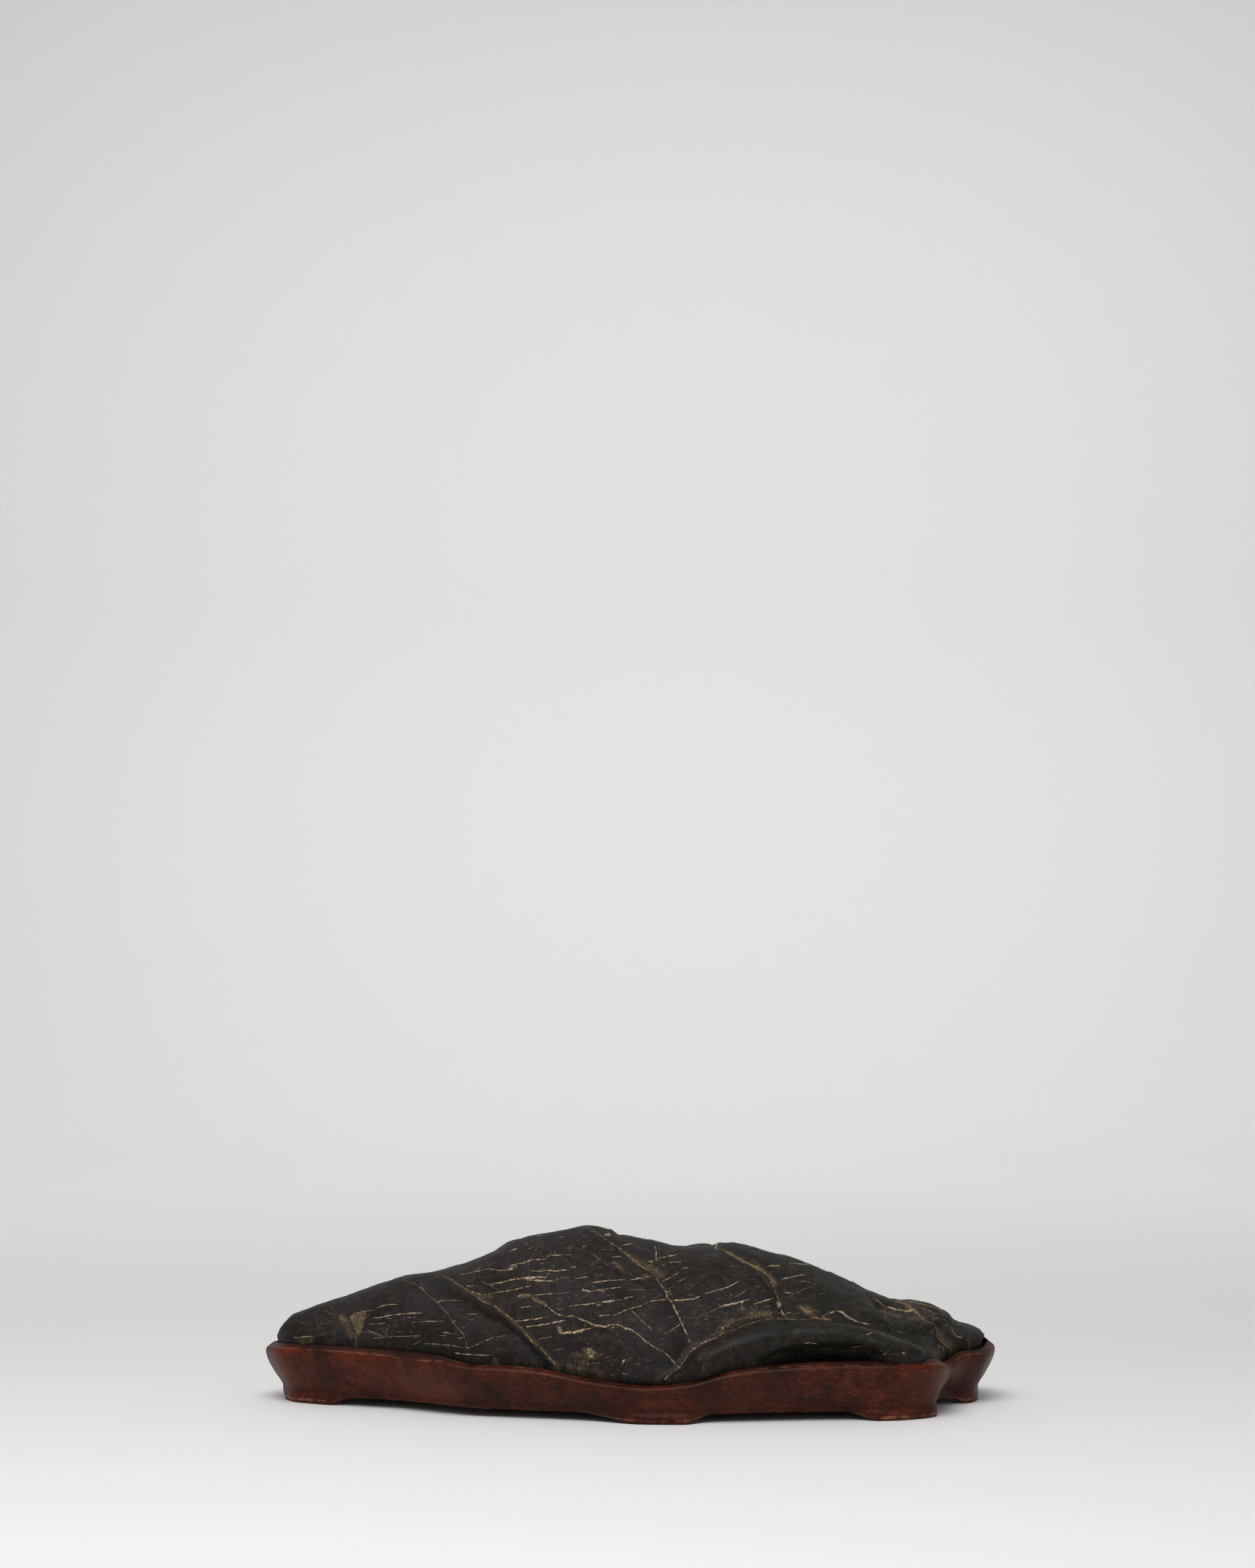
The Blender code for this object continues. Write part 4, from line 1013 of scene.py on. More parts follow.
def build_stone():
    around = sum(STONE_AROUND)
    bm = bmesh.new()
    bmesh.ops.create_uvsphere(bm, u_segments=around, v_segments=STONE_ALONG, radius=1.0)
    at = np.array([v.co for v in bm.verts])
    share = np.arccos(np.clip(at[:, 2], -1, 1)) / math.pi
    lap = np.arctan2(at[:, 1], at[:, 0]) % (2 * math.pi) / (2 * math.pi) % 0.99999
    marks = np.cumsum([0, *STONE_AROUND]) / around
    turn = np.interp(lap, marks, [0, math.pi / 2, math.pi, 2 * math.pi])
    body, above_rim = stone_body(share, turn)
    mesh = bpy.data.meshes.new("stone_surface")
    bm.to_mesh(mesh)
    bm.free()

    def move_to(points):
        mesh.vertices.foreach_set("co", (points * MM).astype(np.float32).ravel())
        mesh.update()
        normals = np.empty(len(points) * 3, np.float32)
        mesh.vertices.foreach_get("normal", normals)
        return normals.reshape(-1, 3).astype(float)

    normals = move_to(body)
    if (normals * (body - body.mean(axis=0))).sum() < 0:
        mesh.flip_normals()
        normals = move_to(body)

    to_front = fade(np.cos(turn), -FRONT_BLEND, FRONT_BLEND)
    xz = body[:, [0, 2]]
    rise = to_front * relief(xz, FRONT_CREASES, FRONT_SWELLS, FRONT_UNDERCUTS)
    rise += (1 - to_front) * relief(xz, BACK_CREASES, BACK_SWELLS)
    rise *= fade(above_rim, *RELIEF_FROM_RIM) * (1 - fade(np.sin(turn), *RELIEF_TO_CREST))
    rise *= fade(share, 0, RELIEF_FROM_TIP) * fade(1 - share, 0, RELIEF_FROM_TIP)
    for size, depth in WAVES:
        rise += depth * noise_at(body, size)
    rise -= RIM_SHADOW * np.exp(-(((above_rim - RIM_SHADOW_AT) / RIM_SHADOW_REACH) ** 2))
    points = body + normals * rise[:, None]
    normals = move_to(points)

    # crevice: how deep in a hollow or how near the rim a point lies. The colour darkens there as painted
    # shade, and moss lies there.
    crevice = np.maximum(HOLLOW_SHADE * fade(-rise, *HOLLOW_DEPTHS), 1 - fade(above_rim, *RIM_SHADE_REACH))
    smoothness = fade(ROLL_WORN - line_field(points[:, [0, 2]], ROLL_CREST)[0], 0, 5) * to_front
    wave, length, seed = LEDGE_WAVES
    beds = points[:, 2] - BEDDING_SLOPE * points[:, 0] + wave * noise_at(points, length, seed)
    phase = (beds / LEDGE_SPACING) % 1.0
    step_back = (1 - phase) / (1 - LEDGE_TREAD)
    ledge = np.where(phase < LEDGE_TREAD, phase / LEDGE_TREAD, step_back) - 0.5
    patchy = fade(noise_at(points, *LEDGE_PATCHES), -0.1, 0.35)
    fine = LEDGE_DEPTH * ledge * patchy
    for size, depth in POCKS:
        fine += depth * noise_at(points, size, size)
    fine *= (1 - (1 - SMOOTH_KEEPS) * smoothness) * fade(above_rim, 0, 3)
    points = points + normals * fine[:, None]
    normals = move_to(points)

    front = np.cos(turn) > -0.04
    flat = np.where(front[:, None], pane_of(points), points[:, [0, 2]])
    for name, front_veins, back_veins in (
        ("main_veins", MAIN_VEINS, BACK_VEINS),
        ("dashes", DASHES, BACK_DASHES),
        ("hairlines", HAIRLINES, []),
    ):
        field = np.empty((len(points), 3))
        field[front] = vein_field(flat[front], drawn(front_veins))
        field[~front] = vein_field(flat[~front], as_arrays(back_veins))
        store(mesh, name, field)
    patch = np.tile([-FAR, 0.0, 0.0], (len(points), 1))
    patch[front, :2] = patch_field(flat[front], [(tone, sheet.on_pane(o)) for sheet, tone, o in PATCHES])
    store(mesh, "patches", patch)
    crust = np.zeros((len(points), 3))
    crust[front, :2] = crust_field(flat[front], drawn(CRUSTS))
    crust[~front, :2] = crust_field(flat[~front], as_arrays(BACK_CRUSTS))
    crust[:, 2] = crevice
    store(mesh, "crust", crust)
    store(mesh, "worn_smooth", smoothness)
    mesh.shade_smooth()
    return mesh


stone_mesh = build_stone()
stone = bpy.data.objects.new("stone_surface", stone_mesh)
bpy.context.scene.collection.objects.link(stone)
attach(stone, "root")
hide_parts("stone")
print("stone:", len(stone_mesh.polygons), "faces")

# %% [markdown]
# ## The stand's form
#
# The stand is one block of hardwood, carved to follow the stone's edge: a cup with a bevelled
# rim, a wall that leans in to a neck, and seven lobed feet. It is remade from a fine sphere too,
# whose poles are the middle of the seat and the middle of the underside. Each ring of the sphere
# is moved to one ring of the section, so the rim and the feet are one smooth skin.

# %% Section and feet of the stand, in millimetres
NECK_Z = 7.0
UNDERSIDE_Z = 4.0
FULL_LEAN_HEIGHT = 24.0
SEAT_GAP = 1.2
SEAT_TURN = 80  # degrees of the stone's underside that the seat follows
MOUTH = (0.4, 0.5)  # how far in and how far down the rim's inner edge starts
LEAN_LIMITS = (0.6, 1.0)  # the wall leans in less where it is low
TIP_INSET = 0.06  # share of the length that the spine stops short of the tips
NORMAL_BLEND = 6  # steps each way over which the directions out are evened
NORMAL_SPREAD = 2.5
SHOULDER = [(1.00, 0.0), (0.98, 0.42), (0.94, 0.78)]  # height, and share of the way out to the wall
WALL = [
    (0.87, 5.3),
    (0.74, 4.8),
    (0.58, 3.4),
    (0.40, 1.0),
    (0.23, -1.7),
    (0.09, -4.1),
    (0.00, -5.0),
]
NECK_FILL = 4.6  # how much shallower the neck is over a foot
FILL_TOP = 0.6  # share of the wall's height up to which it is filled
FILL_BACK = 6.0  # mm out over which the foot's own edge takes the fill off again
BEVEL = [  # (x, width, drop) along the front; the step at -90 is where the carver changed the bevel
    (-190, 2.6, 2.0),
    (-130, 3.2, 2.6),
    (-97, 3.4, 2.8),
    (-88, 1.1, 0.9),
    (-60, 0.9, 0.7),
    (10, 0.9, 0.7),
    (60, 1.8, 1.3),
    (150, 2.6, 2.0),
    (190, 2.2, 1.8),
]
BACK_BEVEL = (2.4, 1.8)
LOBE_GAP = 1.3  # the cup is cut wider round the right-hand lobe
PLAIN_EDGE = [
    (-0.1, 6.3),
    (-0.2, 5.8),
    (-0.4, 5.2),
    (-0.8, 4.8),
    (-1.3, 4.4),
    (-2.0, 4.15),
    (-3.0, 4.0),
    (-4.0, UNDERSIDE_Z),
    (-6.0, UNDERSIDE_Z),
    (-9.0, UNDERSIDE_Z),
]
FOOT_EDGE = [
    (0.5, 6.0),
    (1.7, 5.2),
    (3.3, 4.4),
    (4.8, 3.5),
    (5.6, 2.4),
    (5.5, 1.2),
    (4.6, 0.35),
    (2.5, 0.0),
    (-6.0, 0.0),
    (-9.0, UNDERSIDE_Z),
]
LIP = 8  # the stations from the neck to where a foot meets the table
# Each foot: its place, half its length, how long its sides run out before and after it, and its
# flare.
FEET = [
    ((-174, 9), 18.0, 16.0, 16.0, 0.2),
    ((17, -61), 9.0, 36.0, 17.0, 1.00),
    ((143, -49), 16.0, 20.0, 18.0, 0.95),
    ((180, 16), 9.0, 12.0, 14.0, 0.35),
    ((98, 57), 12.0, 18.0, 18.0, 0.80),
    ((-8, 59), 12.0, 18.0, 18.0, 0.80),
    ((-116, 61), 12.0, 18.0, 18.0, 0.80),
]
STAND_MIDDLE = (0.0, 10.0)
STAND_AROUND = 480
SEAT_RINGS = 12
BEVEL_RINGS = 5
WALL_RINGS = 26
FOOT_RINGS = 16
FOOT_EDGE_AT = 0.68  # share of them at which the foot's worn edge, partly a painted highlight, lies
UNDERSIDE_RINGS = 6


def stand_loop():
    """The stone's edge as a closed loop, with its plan normals out, and points inside."""
    half = STAND_AROUND // 2
    share = np.linspace(0, 1, half + 1)
    front = smooth_line(FRONT_EDGE, share)
    back = smooth_line(BACK_EDGE, share)
    loop = np.concatenate([front[:-1], back[:0:-1]])
    inner_share = np.clip(share, TIP_INSET, 1 - TIP_INSET)
    spine = (smooth_line(FRONT_EDGE, inner_share) + smooth_line(BACK_EDGE, inner_share)) / 2
    inside = np.concatenate([spine[:-1], spine[:0:-1]])[:, :2]
    along = np.roll(loop[:, :2], -1, axis=0) - np.roll(loop[:, :2], 1, axis=0)
    normals = np.column_stack([along[:, 1], -along[:, 0]])
    normals /= np.linalg.norm(normals, axis=1)[:, None]
    steps = np.arange(-NORMAL_BLEND, NORMAL_BLEND + 1)
    weights = np.exp(-((steps / NORMAL_SPREAD) ** 2))
    normals = sum(w * np.roll(normals, k, axis=0) for k, w in zip(steps, weights))
    normals /= np.linalg.norm(normals, axis=1)[:, None]
    return loop, normals, inside


def foot_weight(loop):
    """For each place on the loop, 1 over a foot and 0 between feet, and that foot's flare."""
    steps = np.linalg.norm(np.roll(loop[:, :2], -1, axis=0) - loop[:, :2], axis=1)
    along = np.concatenate([[0.0], np.cumsum(steps)[:-1]])
    lap = steps.sum()
    weight = np.zeros(len(loop))
    flare = np.zeros(len(loop))
    for place, half_length, before, after, spread in FEET:
        centre = along[np.linalg.norm(loop[:, :2] - np.array(place), axis=1).argmin()]
        gap = (along - centre + lap / 2) % lap - lap / 2
        left = fade(-gap, half_length, half_length + before)
        right = fade(gap, half_length, half_length + after)
        here = 1 - left - right
        weight = np.maximum(weight, here)
        flare = np.maximum(flare, here * spread)
    return weight, flare


def ring_points(loop, directions, offset, z):
    xy = loop[:, :2] + directions * np.reshape(offset, (-1, 1))
    return np.column_stack([xy, np.broadcast_to(z, len(loop))])


def between(stations, count):
    """Rings along the smooth curve through the stations, not counting the last station."""
    knots = np.arange(len(stations), dtype=float)
    at = np.linspace(0, len(stations) - 1, count, endpoint=False)
    flat = np.array(stations).reshape(len(stations), -1)
    return [hermite(knots, flat, np.array([a]))[0].reshape(-1, 3) for a in at]


def stand_rings():
    """Closed rings of points: out of the seat, over the rim, down the wall, under the feet. With
    each comes how much it is a worn edge with a painted highlight, and how much painted shade it holds."""
    loop, out, inside = stand_loop()
    half = STAND_AROUND // 2
    share = np.linspace(0, 1, half + 1)
    in_front = np.arange(STAND_AROUND) < half
    shares = np.concatenate([share[:-1], share[:0:-1]])
    rim = loop[:, 2]
    gap = SEAT_GAP + LOBE_GAP * fade(loop[:, 0], 150, 166) * fade(-loop[:, 1], -40, -15)
    width, drop = np.where(in_front, smooth_value(BEVEL, loop[:, 0]).T, np.reshape(BACK_BEVEL, (2, 1)))
    skin = []
    for step in range(SEAT_RINGS):
        down = math.radians(SEAT_TURN) * (1 - step / SEAT_RINGS)
        turn = np.where(in_front, 2 * math.pi - down, math.pi + down)
        seat, _ = stone_body(shares, turn)
        seat[:, :2] += out * (gap * math.cos(down))[:, None]
        seat[:, 2] = np.minimum(seat[:, 2], rim) - SEAT_GAP * math.sin(down)
        skin.append((seat, 0.0, 1.0))
    shoulder = rim - drop
    lean = np.clip((rim - NECK_Z) / FULL_LEAN_HEIGHT, *LEAN_LIMITS)
    widest = max(offset for _, offset in WALL)
    wall = []
    weight, flare = foot_weight(loop)
    for height, share_out in SHOULDER:
        offset = (gap + width) * (1 - share_out) + widest * share_out
        wall.append(ring_points(loop, out, offset, NECK_Z + (shoulder - NECK_Z) * height))
    for height, offset in WALL:
        filled = NECK_FILL * flare * fade(FILL_TOP - height, 0.0, FILL_TOP)
        drawn_in = widest + (offset - widest) * lean + filled
        wall.append(ring_points(loop, out, drawn_in, NECK_Z + (shoulder - NECK_Z) * height))
    mouth_in, mouth_down = MOUTH
    mouth = ring_points(loop, out, gap - mouth_in, rim - mouth_down)
    bevel = [mouth, ring_points(loop, out, gap, rim), wall[0]]
    # The bevel holds painted shade from the stone above it.
    for step, ring in enumerate(between(bevel, BEVEL_RINGS)):
        skin.append((ring, 0.1, 1 - 0.3 * (step / BEVEL_RINGS) ** 2))
    # The shoulder's pale worn colour is partly a painted highlight along the rim.
    for step, ring in enumerate(between(wall, WALL_RINGS)):
        skin.append((ring, math.exp(-step / 1.5), 0.0))
    neck = wall[-1][:, :2]
    inwards = inside - neck
    inwards /= np.linalg.norm(inwards, axis=1)[:, None]
    feet = [wall[-1]]
    for (plain_offset, plain_z), (foot_offset, foot_z) in zip(PLAIN_EDGE, FOOT_EDGE):
        past_fill = foot_offset - NECK_FILL * min(foot_offset / FILL_BACK, 1)
        outward = past_fill * flare if foot_offset > 0 else foot_offset * weight
        offset = plain_offset * (1 - weight) + outward
        z = plain_z + (foot_z - plain_z) * weight
        direction = np.where(np.reshape(offset, (-1, 1)) > 0, out, -inwards)
        feet.append(np.column_stack([neck + direction * np.reshape(offset, (-1, 1)), z]))
    # Each foot's lip gets a pale worn line that is partly a painted highlight, and its neck some painted
    # shade.
    for step, ring in enumerate(between(feet[: LIP + 1], FOOT_RINGS)):
        lip_wear_and_highlight = math.exp(-(((step - FOOT_RINGS * FOOT_EDGE_AT) / 2.2) ** 2))
        skin.append((ring, lip_wear_and_highlight, 0.4 * math.exp(-((step / 4.0) ** 2))))
    skin += [(ring, 0.0, 0.0) for ring in feet[LIP:]]
    middle = np.array([*STAND_MIDDLE, UNDERSIDE_Z])
    for step in range(1, UNDERSIDE_RINGS):
        skin.append((middle + (feet[-1] - middle) * (1 - step / UNDERSIDE_RINGS), 0.0, 0.0))
    return zip(*skin)


def build_stand():
    rings, wear_and_highlight, painted_shade = stand_rings()
    bm = bmesh.new()
    bmesh.ops.create_uvsphere(bm, u_segments=STAND_AROUND, v_segments=len(rings) + 1, radius=1.0)
    at = np.array([v.co for v in bm.verts])
    ring = np.rint(np.arccos(np.clip(at[:, 2], -1, 1)) / math.pi * (len(rings) + 1)).astype(int)
    lap = np.rint(np.arctan2(at[:, 1], at[:, 0]) / (2 * math.pi) * STAND_AROUND).astype(int) % STAND_AROUND
    stack = np.array(rings)
    points = stack[np.clip(ring - 1, 0, len(rings) - 1), lap]
    points[ring == 0] = (*STAND_MIDDLE, STONE_BASE_Z - SEAT_GAP)
    points[ring == len(rings) + 1] = (*STAND_MIDDLE, UNDERSIDE_Z)
    for vert, point in zip(bm.verts, points):
        vert.co = Vector(point * MM)
    if bm.calc_volume(signed=True) < 0:
        bmesh.ops.reverse_faces(bm, faces=bm.faces)
    mesh = bpy.data.meshes.new("stand_carving")
    bm.to_mesh(mesh)
    bm.free()
    for name, values in (("worn_edge_and_highlight", wear_and_highlight), ("painted_shade", painted_shade)):
        store(mesh, name, np.array([values[0], *values, values[-1]])[ring])
    mesh.shade_smooth()
    return mesh


stand_mesh = build_stand()
stand = bpy.data.objects.new("stand_carving", stand_mesh)
bpy.context.scene.collection.objects.link(stand)
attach(stand, "root")
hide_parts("stand")
print("stand:", len(stand_mesh.polygons), "faces")

# %% [markdown]
# ## Black limestone with calcite veins
#
# The stone is a dense, carbon-rich limestone, worn smooth by water and then oiled by hands, so
# it is nearly black with a soft satin sheen. Its body could be one flat colour, but a real one
# drifts between brown black and a warm grey, and turns faintly green towards its right-hand end.
# Its beds show as soft streaks and fine pale strokes, which the polished roll has lost. Each
# drift is a noise of a real size, and the streaks and strokes are noises stretched along the beds.

# %% Limestone: the body
LIMESTONE_IOR = 1.58
CLOUD = 26.0  # mm
MOTTLE = 5.0
GRAIN = 1.1
STREAK = 0.9
STREAK_STRETCH = 11.0
STREAK_DEPTH = 3.0  # how far they stretch into the stone
STROKE = 0.45  # thickness of the fine pale strokes along the beds
GREENER_FROM, GREENER_TO = 60.0, 150.0  # mm to the right, where the green drift sets in and is full
GREENER_DRIFT = 100.0  # mm that the clouds move it

SOFTLY = {"interpolation_type": "SMOOTHSTEP"}
COLOUR = {"data_type": "RGBA"}

limestone, tree, shader = new_material("oiled black limestone with calcite veins")
where = add_node(tree, "TexCoord").outputs["Object"]
bed_turn = (0.0, -math.atan(BEDDING_SLOPE), 0.0)
bed_stretch = (STREAK_STRETCH, STREAK_DEPTH, 1.0)
bedding = add_node(tree, "Mapping", where, None, bed_turn, bed_stretch, vector_type="TEXTURE")
clouds = add_node(tree, "TexNoise", where, 1 / (CLOUD * MM), 3.0, 0.6)
mottle = add_node(tree, "TexNoise", where, 1 / (MOTTLE * MM), 4.0, 0.6)
grain = add_node(tree, "TexNoise", where, 1 / (GRAIN * MM), 4.0, 0.65)
streaks = add_node(tree, "TexNoise", bedding, 1 / (STREAK * MM), 3.0, 0.55)
strokes = add_node(tree, "TexNoise", bedding, 1 / (STROKE * MM), 2.0, 0.5)
smooth_places = add_node(tree, "Attribute", attribute_name="worn_smooth")

cloudy = add_node(tree, "MapRange", clouds, 0.38, 0.62, **SOFTLY)
to_right = add_node(tree, "SeparateXYZ", where).outputs[0]
to_right = add_node(tree, "Math", clouds, GREENER_DRIFT * MM, to_right, operation="MULTIPLY_ADD")
greener = add_node(tree, "MapRange", to_right, GREENER_FROM * MM, GREENER_TO * MM, 0.0, 0.75, **SOFTLY)
mottled = add_node(tree, "MapRange", mottle, 0.42, 0.7, 0.0, 0.75, **SOFTLY)
stroked = add_node(tree, "MapRange", strokes, 0.66, 0.73, 0.0, 0.5, **SOFTLY)
stroke_here = add_node(tree, "MapRange", clouds, 0.42, 0.58, 0.2, 1.0)
stroke_here = add_node(tree, "Math", stroke_here, smooth_places.outputs["Fac"], operation="SUBTRACT")
stroke_here = add_node(tree, "Math", stroke_here, 0.0, operation="MAXIMUM")
stroked = add_node(tree, "Math", stroked, stroke_here, operation="MULTIPLY")
streaked = add_node(tree, "MapRange", streaks, 0.55, 0.8, 0.0, 0.45, **SOFTLY)

body = add_node(tree, "Mix", cloudy, linear("#1b1613"), linear("#242021"), **COLOUR)
drifts = ((greener, "#181711"), (mottled, "#302a27"), (stroked, "#8d7f6a"), (streaked, "#3a3229"))
for share, swatch in drifts:
    body = add_node(tree, "Mix", share, body, linear(swatch), **COLOUR)
print("streaks about", STREAK * STREAK_STRETCH, "mm long and", STREAK, "mm thick")

# %% [markdown]
# Calcite is pale, and duller and rougher than the stone round it. The stored distance to a vein
# line says where it lies. Noise moves the line sideways a little and thins it here and there, so
# that it wanders and breaks as a mineral does, and a dark hem beside it is painted shade in the
# shallow groove there. Crusts and patches are laid on the same way. The hollows and the stone's
# edge along the rim are darkened as painted shade, a little moss lies in them, and two nets of
# cells give the fine cracks: one with a pale filling, and one that is open and dark.

# %% Limestone: veins and crusts
VEIN_SWATCHES = ("#ccb594", "#917c5e", "#756963")  # cream, sandy, mauve
STAIN = "#4a3826"
CRUST_SWATCHES = ("#8c785c", "#675743", "#51463f")
HEM_SHADE_REACH = (-0.7, -0.15)  # mm from a vein's edge over which the painted shade of its hem sets in
NET_CELL = 11.0  # mm between the filled cracks of the net
CRACK_CELL = 17.0  # mm between the open ones
NET_BEND = 4.0  # mm that the noise moves both

wander = add_node(tree, "TexNoise", where, 1 / (3.0 * MM), 3.0, 0.6)
thinning = add_node(tree, "TexNoise", where, 1 / (4.0 * MM), 3.0, 0.6)
crystals = add_node(tree, "TexNoise", where, 1 / (1.5 * MM), 3.0, 0.6)
specks = add_node(tree, "TexNoise", where, 1 / (0.5 * MM), 2.0, 0.6)
stained = add_node(tree, "MapRange", crystals, 0.42, 0.62, 0.75, 0.0, **SOFTLY)
speckled = add_node(tree, "Math", specks, -0.5, operation="ADD")


def tone_colour(tone, swatches):
    ramp = add_node(tree, "ValToRGB", tone)
    stops = ramp.color_ramp.elements
    stops[0].color = linear(swatches[0])
    stops[1].color = linear(swatches[2])
    stops.new(0.5).color = linear(swatches[1])
    return ramp


def veined(name, colour, wobble_mm, ragged_mm, soft_mm, cover):
    """The colour with one layer of veins over it, the layer's mask, and the hem's painted shade."""
    stored = add_node(tree, "Attribute", attribute_name=name)
    side, width, tone = add_node(tree, "SeparateXYZ", stored.outputs["Vector"]).outputs
    swing = add_node(tree, "Math", wander, -0.5, operation="ADD")
    swing = add_node(tree, "Math", swing, wobble_mm * 2, side, operation="MULTIPLY_ADD")
    swing = add_node(tree, "Math", swing, operation="ABSOLUTE")
    thick = add_node(tree, "MapRange", thinning, 0.34, 0.64, 0.05, 1.3)
    thick = add_node(tree, "Math", thick, width, operation="MULTIPLY")
    inside = add_node(tree, "Math", thick, swing, operation="SUBTRACT")
    inside = add_node(tree, "Math", speckled, ragged_mm, inside, operation="MULTIPLY_ADD")
    mask = add_node(tree, "MapRange", inside, -soft_mm, soft_mm, 0.0, cover, **SOFTLY)
    # Painted shade: a dark hem in the shallow groove along each vein's edge.
    hem_shade = add_node(tree, "MapRange", inside, *HEM_SHADE_REACH, 0.0, 0.5, **SOFTLY)
    filling = add_node(tree, "Mix", stained, tone_colour(tone, VEIN_SWATCHES), linear(STAIN), **COLOUR)
    colour = add_node(tree, "Mix", hem_shade, colour, linear("#0f0c0a"), **COLOUR)
    colour = add_node(tree, "Mix", mask, colour, filling, **COLOUR)
    return colour, mask, hem_shade


stored = add_node(tree, "Attribute", attribute_name="crust")
cling, tone, crevice = add_node(tree, "SeparateXYZ", stored.outputs["Vector"]).outputs
patchy = add_node(tree, "Math", mottle, 1.0, cling, operation="MULTIPLY_ADD")
patchy = add_node(tree, "Math", speckled, 2.6, patchy, operation="MULTIPLY_ADD")
crusty = add_node(tree, "MapRange", patchy, 0.9, 1.4, 0.0, 0.6, **SOFTLY)
crust_here = add_node(tree, "Math", cling, 0.02, operation="GREATER_THAN")
crusty = add_node(tree, "Math", crusty, crust_here, operation="MULTIPLY")
crust_tone = tone_colour(tone, CRUST_SWATCHES)
# Painted shade in the hollows and along the rim.
crevice_shade = add_node(tree, "Math", crevice, 0.88, operation="MULTIPLY")
moss = add_node(tree, "Math", specks, crystals, operation="MULTIPLY")
moss = add_node(tree, "MapRange", moss, 0.27, 0.36, 0.0, 0.5, **SOFTLY)
moss = add_node(tree, "Math", moss, crevice, operation="MULTIPLY")

stored = add_node(tree, "Attribute", attribute_name="patches")
depth, tone, _ = add_node(tree, "SeparateXYZ", stored.outputs["Vector"]).outputs
face = add_node(tree, "Math", speckled, 1.6, depth, operation="MULTIPLY_ADD")
face = add_node(tree, "MapRange", face, -0.25, 0.6, 0.0, 0.8, **SOFTLY)
cleaved = add_node(tree, "MapRange", mottle, 0.4, 0.6, 0.95, 0.25)
filling = add_node(tree, "Mix", cleaved, tone_colour(tone, VEIN_SWATCHES), linear(STAIN), **COLOUR)

bend = (NET_BEND * MM,) * 3
bent = add_node(tree, "VectorMath", wander.outputs["Color"], bend, where, operation="MULTIPLY_ADD")
net = add_node(tree, "TexVoronoi", bent, 1 / (NET_CELL * MM), feature="DISTANCE_TO_EDGE")
net_line = add_node(tree, "MapRange", net, 0.0, 0.014, 1.0, 0.0)
net_here = add_node(tree, "MapRange", thinning, 0.5, 0.62, 0.0, 0.3)
net_line = add_node(tree, "Math", net_line, net_here, operation="MULTIPLY")
cracks = add_node(tree, "TexVoronoi", bent, 1 / (CRACK_CELL * MM), feature="DISTANCE_TO_EDGE")
crack_line = add_node(tree, "MapRange", cracks, 0.0, 0.022, 1.0, 0.0)
crack_here = add_node(tree, "MapRange", mottle, 0.46, 0.58, 0.0, 0.75)
crack_line = add_node(tree, "Math", crack_line, crack_here, operation="MULTIPLY")

colour = body
for share, layer in (
    (crevice_shade, linear("#0c0a07")),
    (moss, linear("#5f5f48")),
    (crusty, crust_tone),
    (face, filling),
    (net_line, linear("#7a6b55")),
    (crack_line, linear("#0d0b09")),
):
    colour = add_node(tree, "Mix", share, colour, layer, **COLOUR)
colour, _, _ = veined("hairlines", colour, 0.25, 0.25, 0.14, 0.5)
colour, main_mask, main_hem_shade = veined("main_veins", colour, 0.4, 1.3, 0.3, 0.85)
colour, dash_mask, dash_hem_shade = veined("dashes", colour, 0.25, 0.5, 0.15, 0.95)
tree.links.new(colour.outputs[2], shader.inputs["Base Color"])
print(len(tree.nodes), "nodes so far")

# %% [markdown]
# Gloss and fine relief finish the stone. Oil leaves the body satin, hands have polished the roll
# a little further, and calcite and crust stay matt. All the fine relief is summed in millimetres
# and given to one Bump node whose distance is one millimetre, so each depth is a real depth.

# %% Limestone: gloss and fine relief
satin = add_node(tree, "Math", grain, 0.25, 0.5, operation="MULTIPLY_ADD")
satin = add_node(tree, "Math", smooth_places.outputs["Fac"], -0.16, satin, operation="MULTIPLY_ADD")
mineral = main_mask
for mask in (dash_mask, face, crusty):
    mineral = add_node(tree, "Math", mineral, mask, operation="MAXIMUM")
rough = add_node(tree, "Mix", mineral, satin, 0.8)
tree.links.new(rough.outputs[0], shader.inputs["Roughness"])
shader.inputs["IOR"].default_value = LIMESTONE_IOR
shader.inputs["Specular IOR Level"].default_value = 0.12

hem_shades = add_node(tree, "Math", main_hem_shade, dash_hem_shade, operation="ADD")
relief_mm = add_node(tree, "Math", mottle, 0.3, 0.0, operation="MULTIPLY_ADD")
for layer, depth_mm in ((grain, 0.07), (streaks, 0.12), (mineral, 0.12), (hem_shades, -0.16), (crack_line, -0.2)):
    relief_mm = add_node(tree, "Math", layer, depth_mm, relief_mm, operation="MULTIPLY_ADD")
crumbly = add_node(tree, "Math", crusty, grain, operation="MULTIPLY")
relief_mm = add_node(tree, "Math", crumbly, 0.35, relief_mm, operation="MULTIPLY_ADD")
bump = add_node(tree, "Bump", named={"Strength": 1.0, "Distance": MM, "Height": relief_mm})
tree.links.new(bump.outputs[0], shader.inputs["Normal"])
stone_mesh.materials.append(limestone)
print(limestone.name, "has", len(tree.nodes), "nodes")

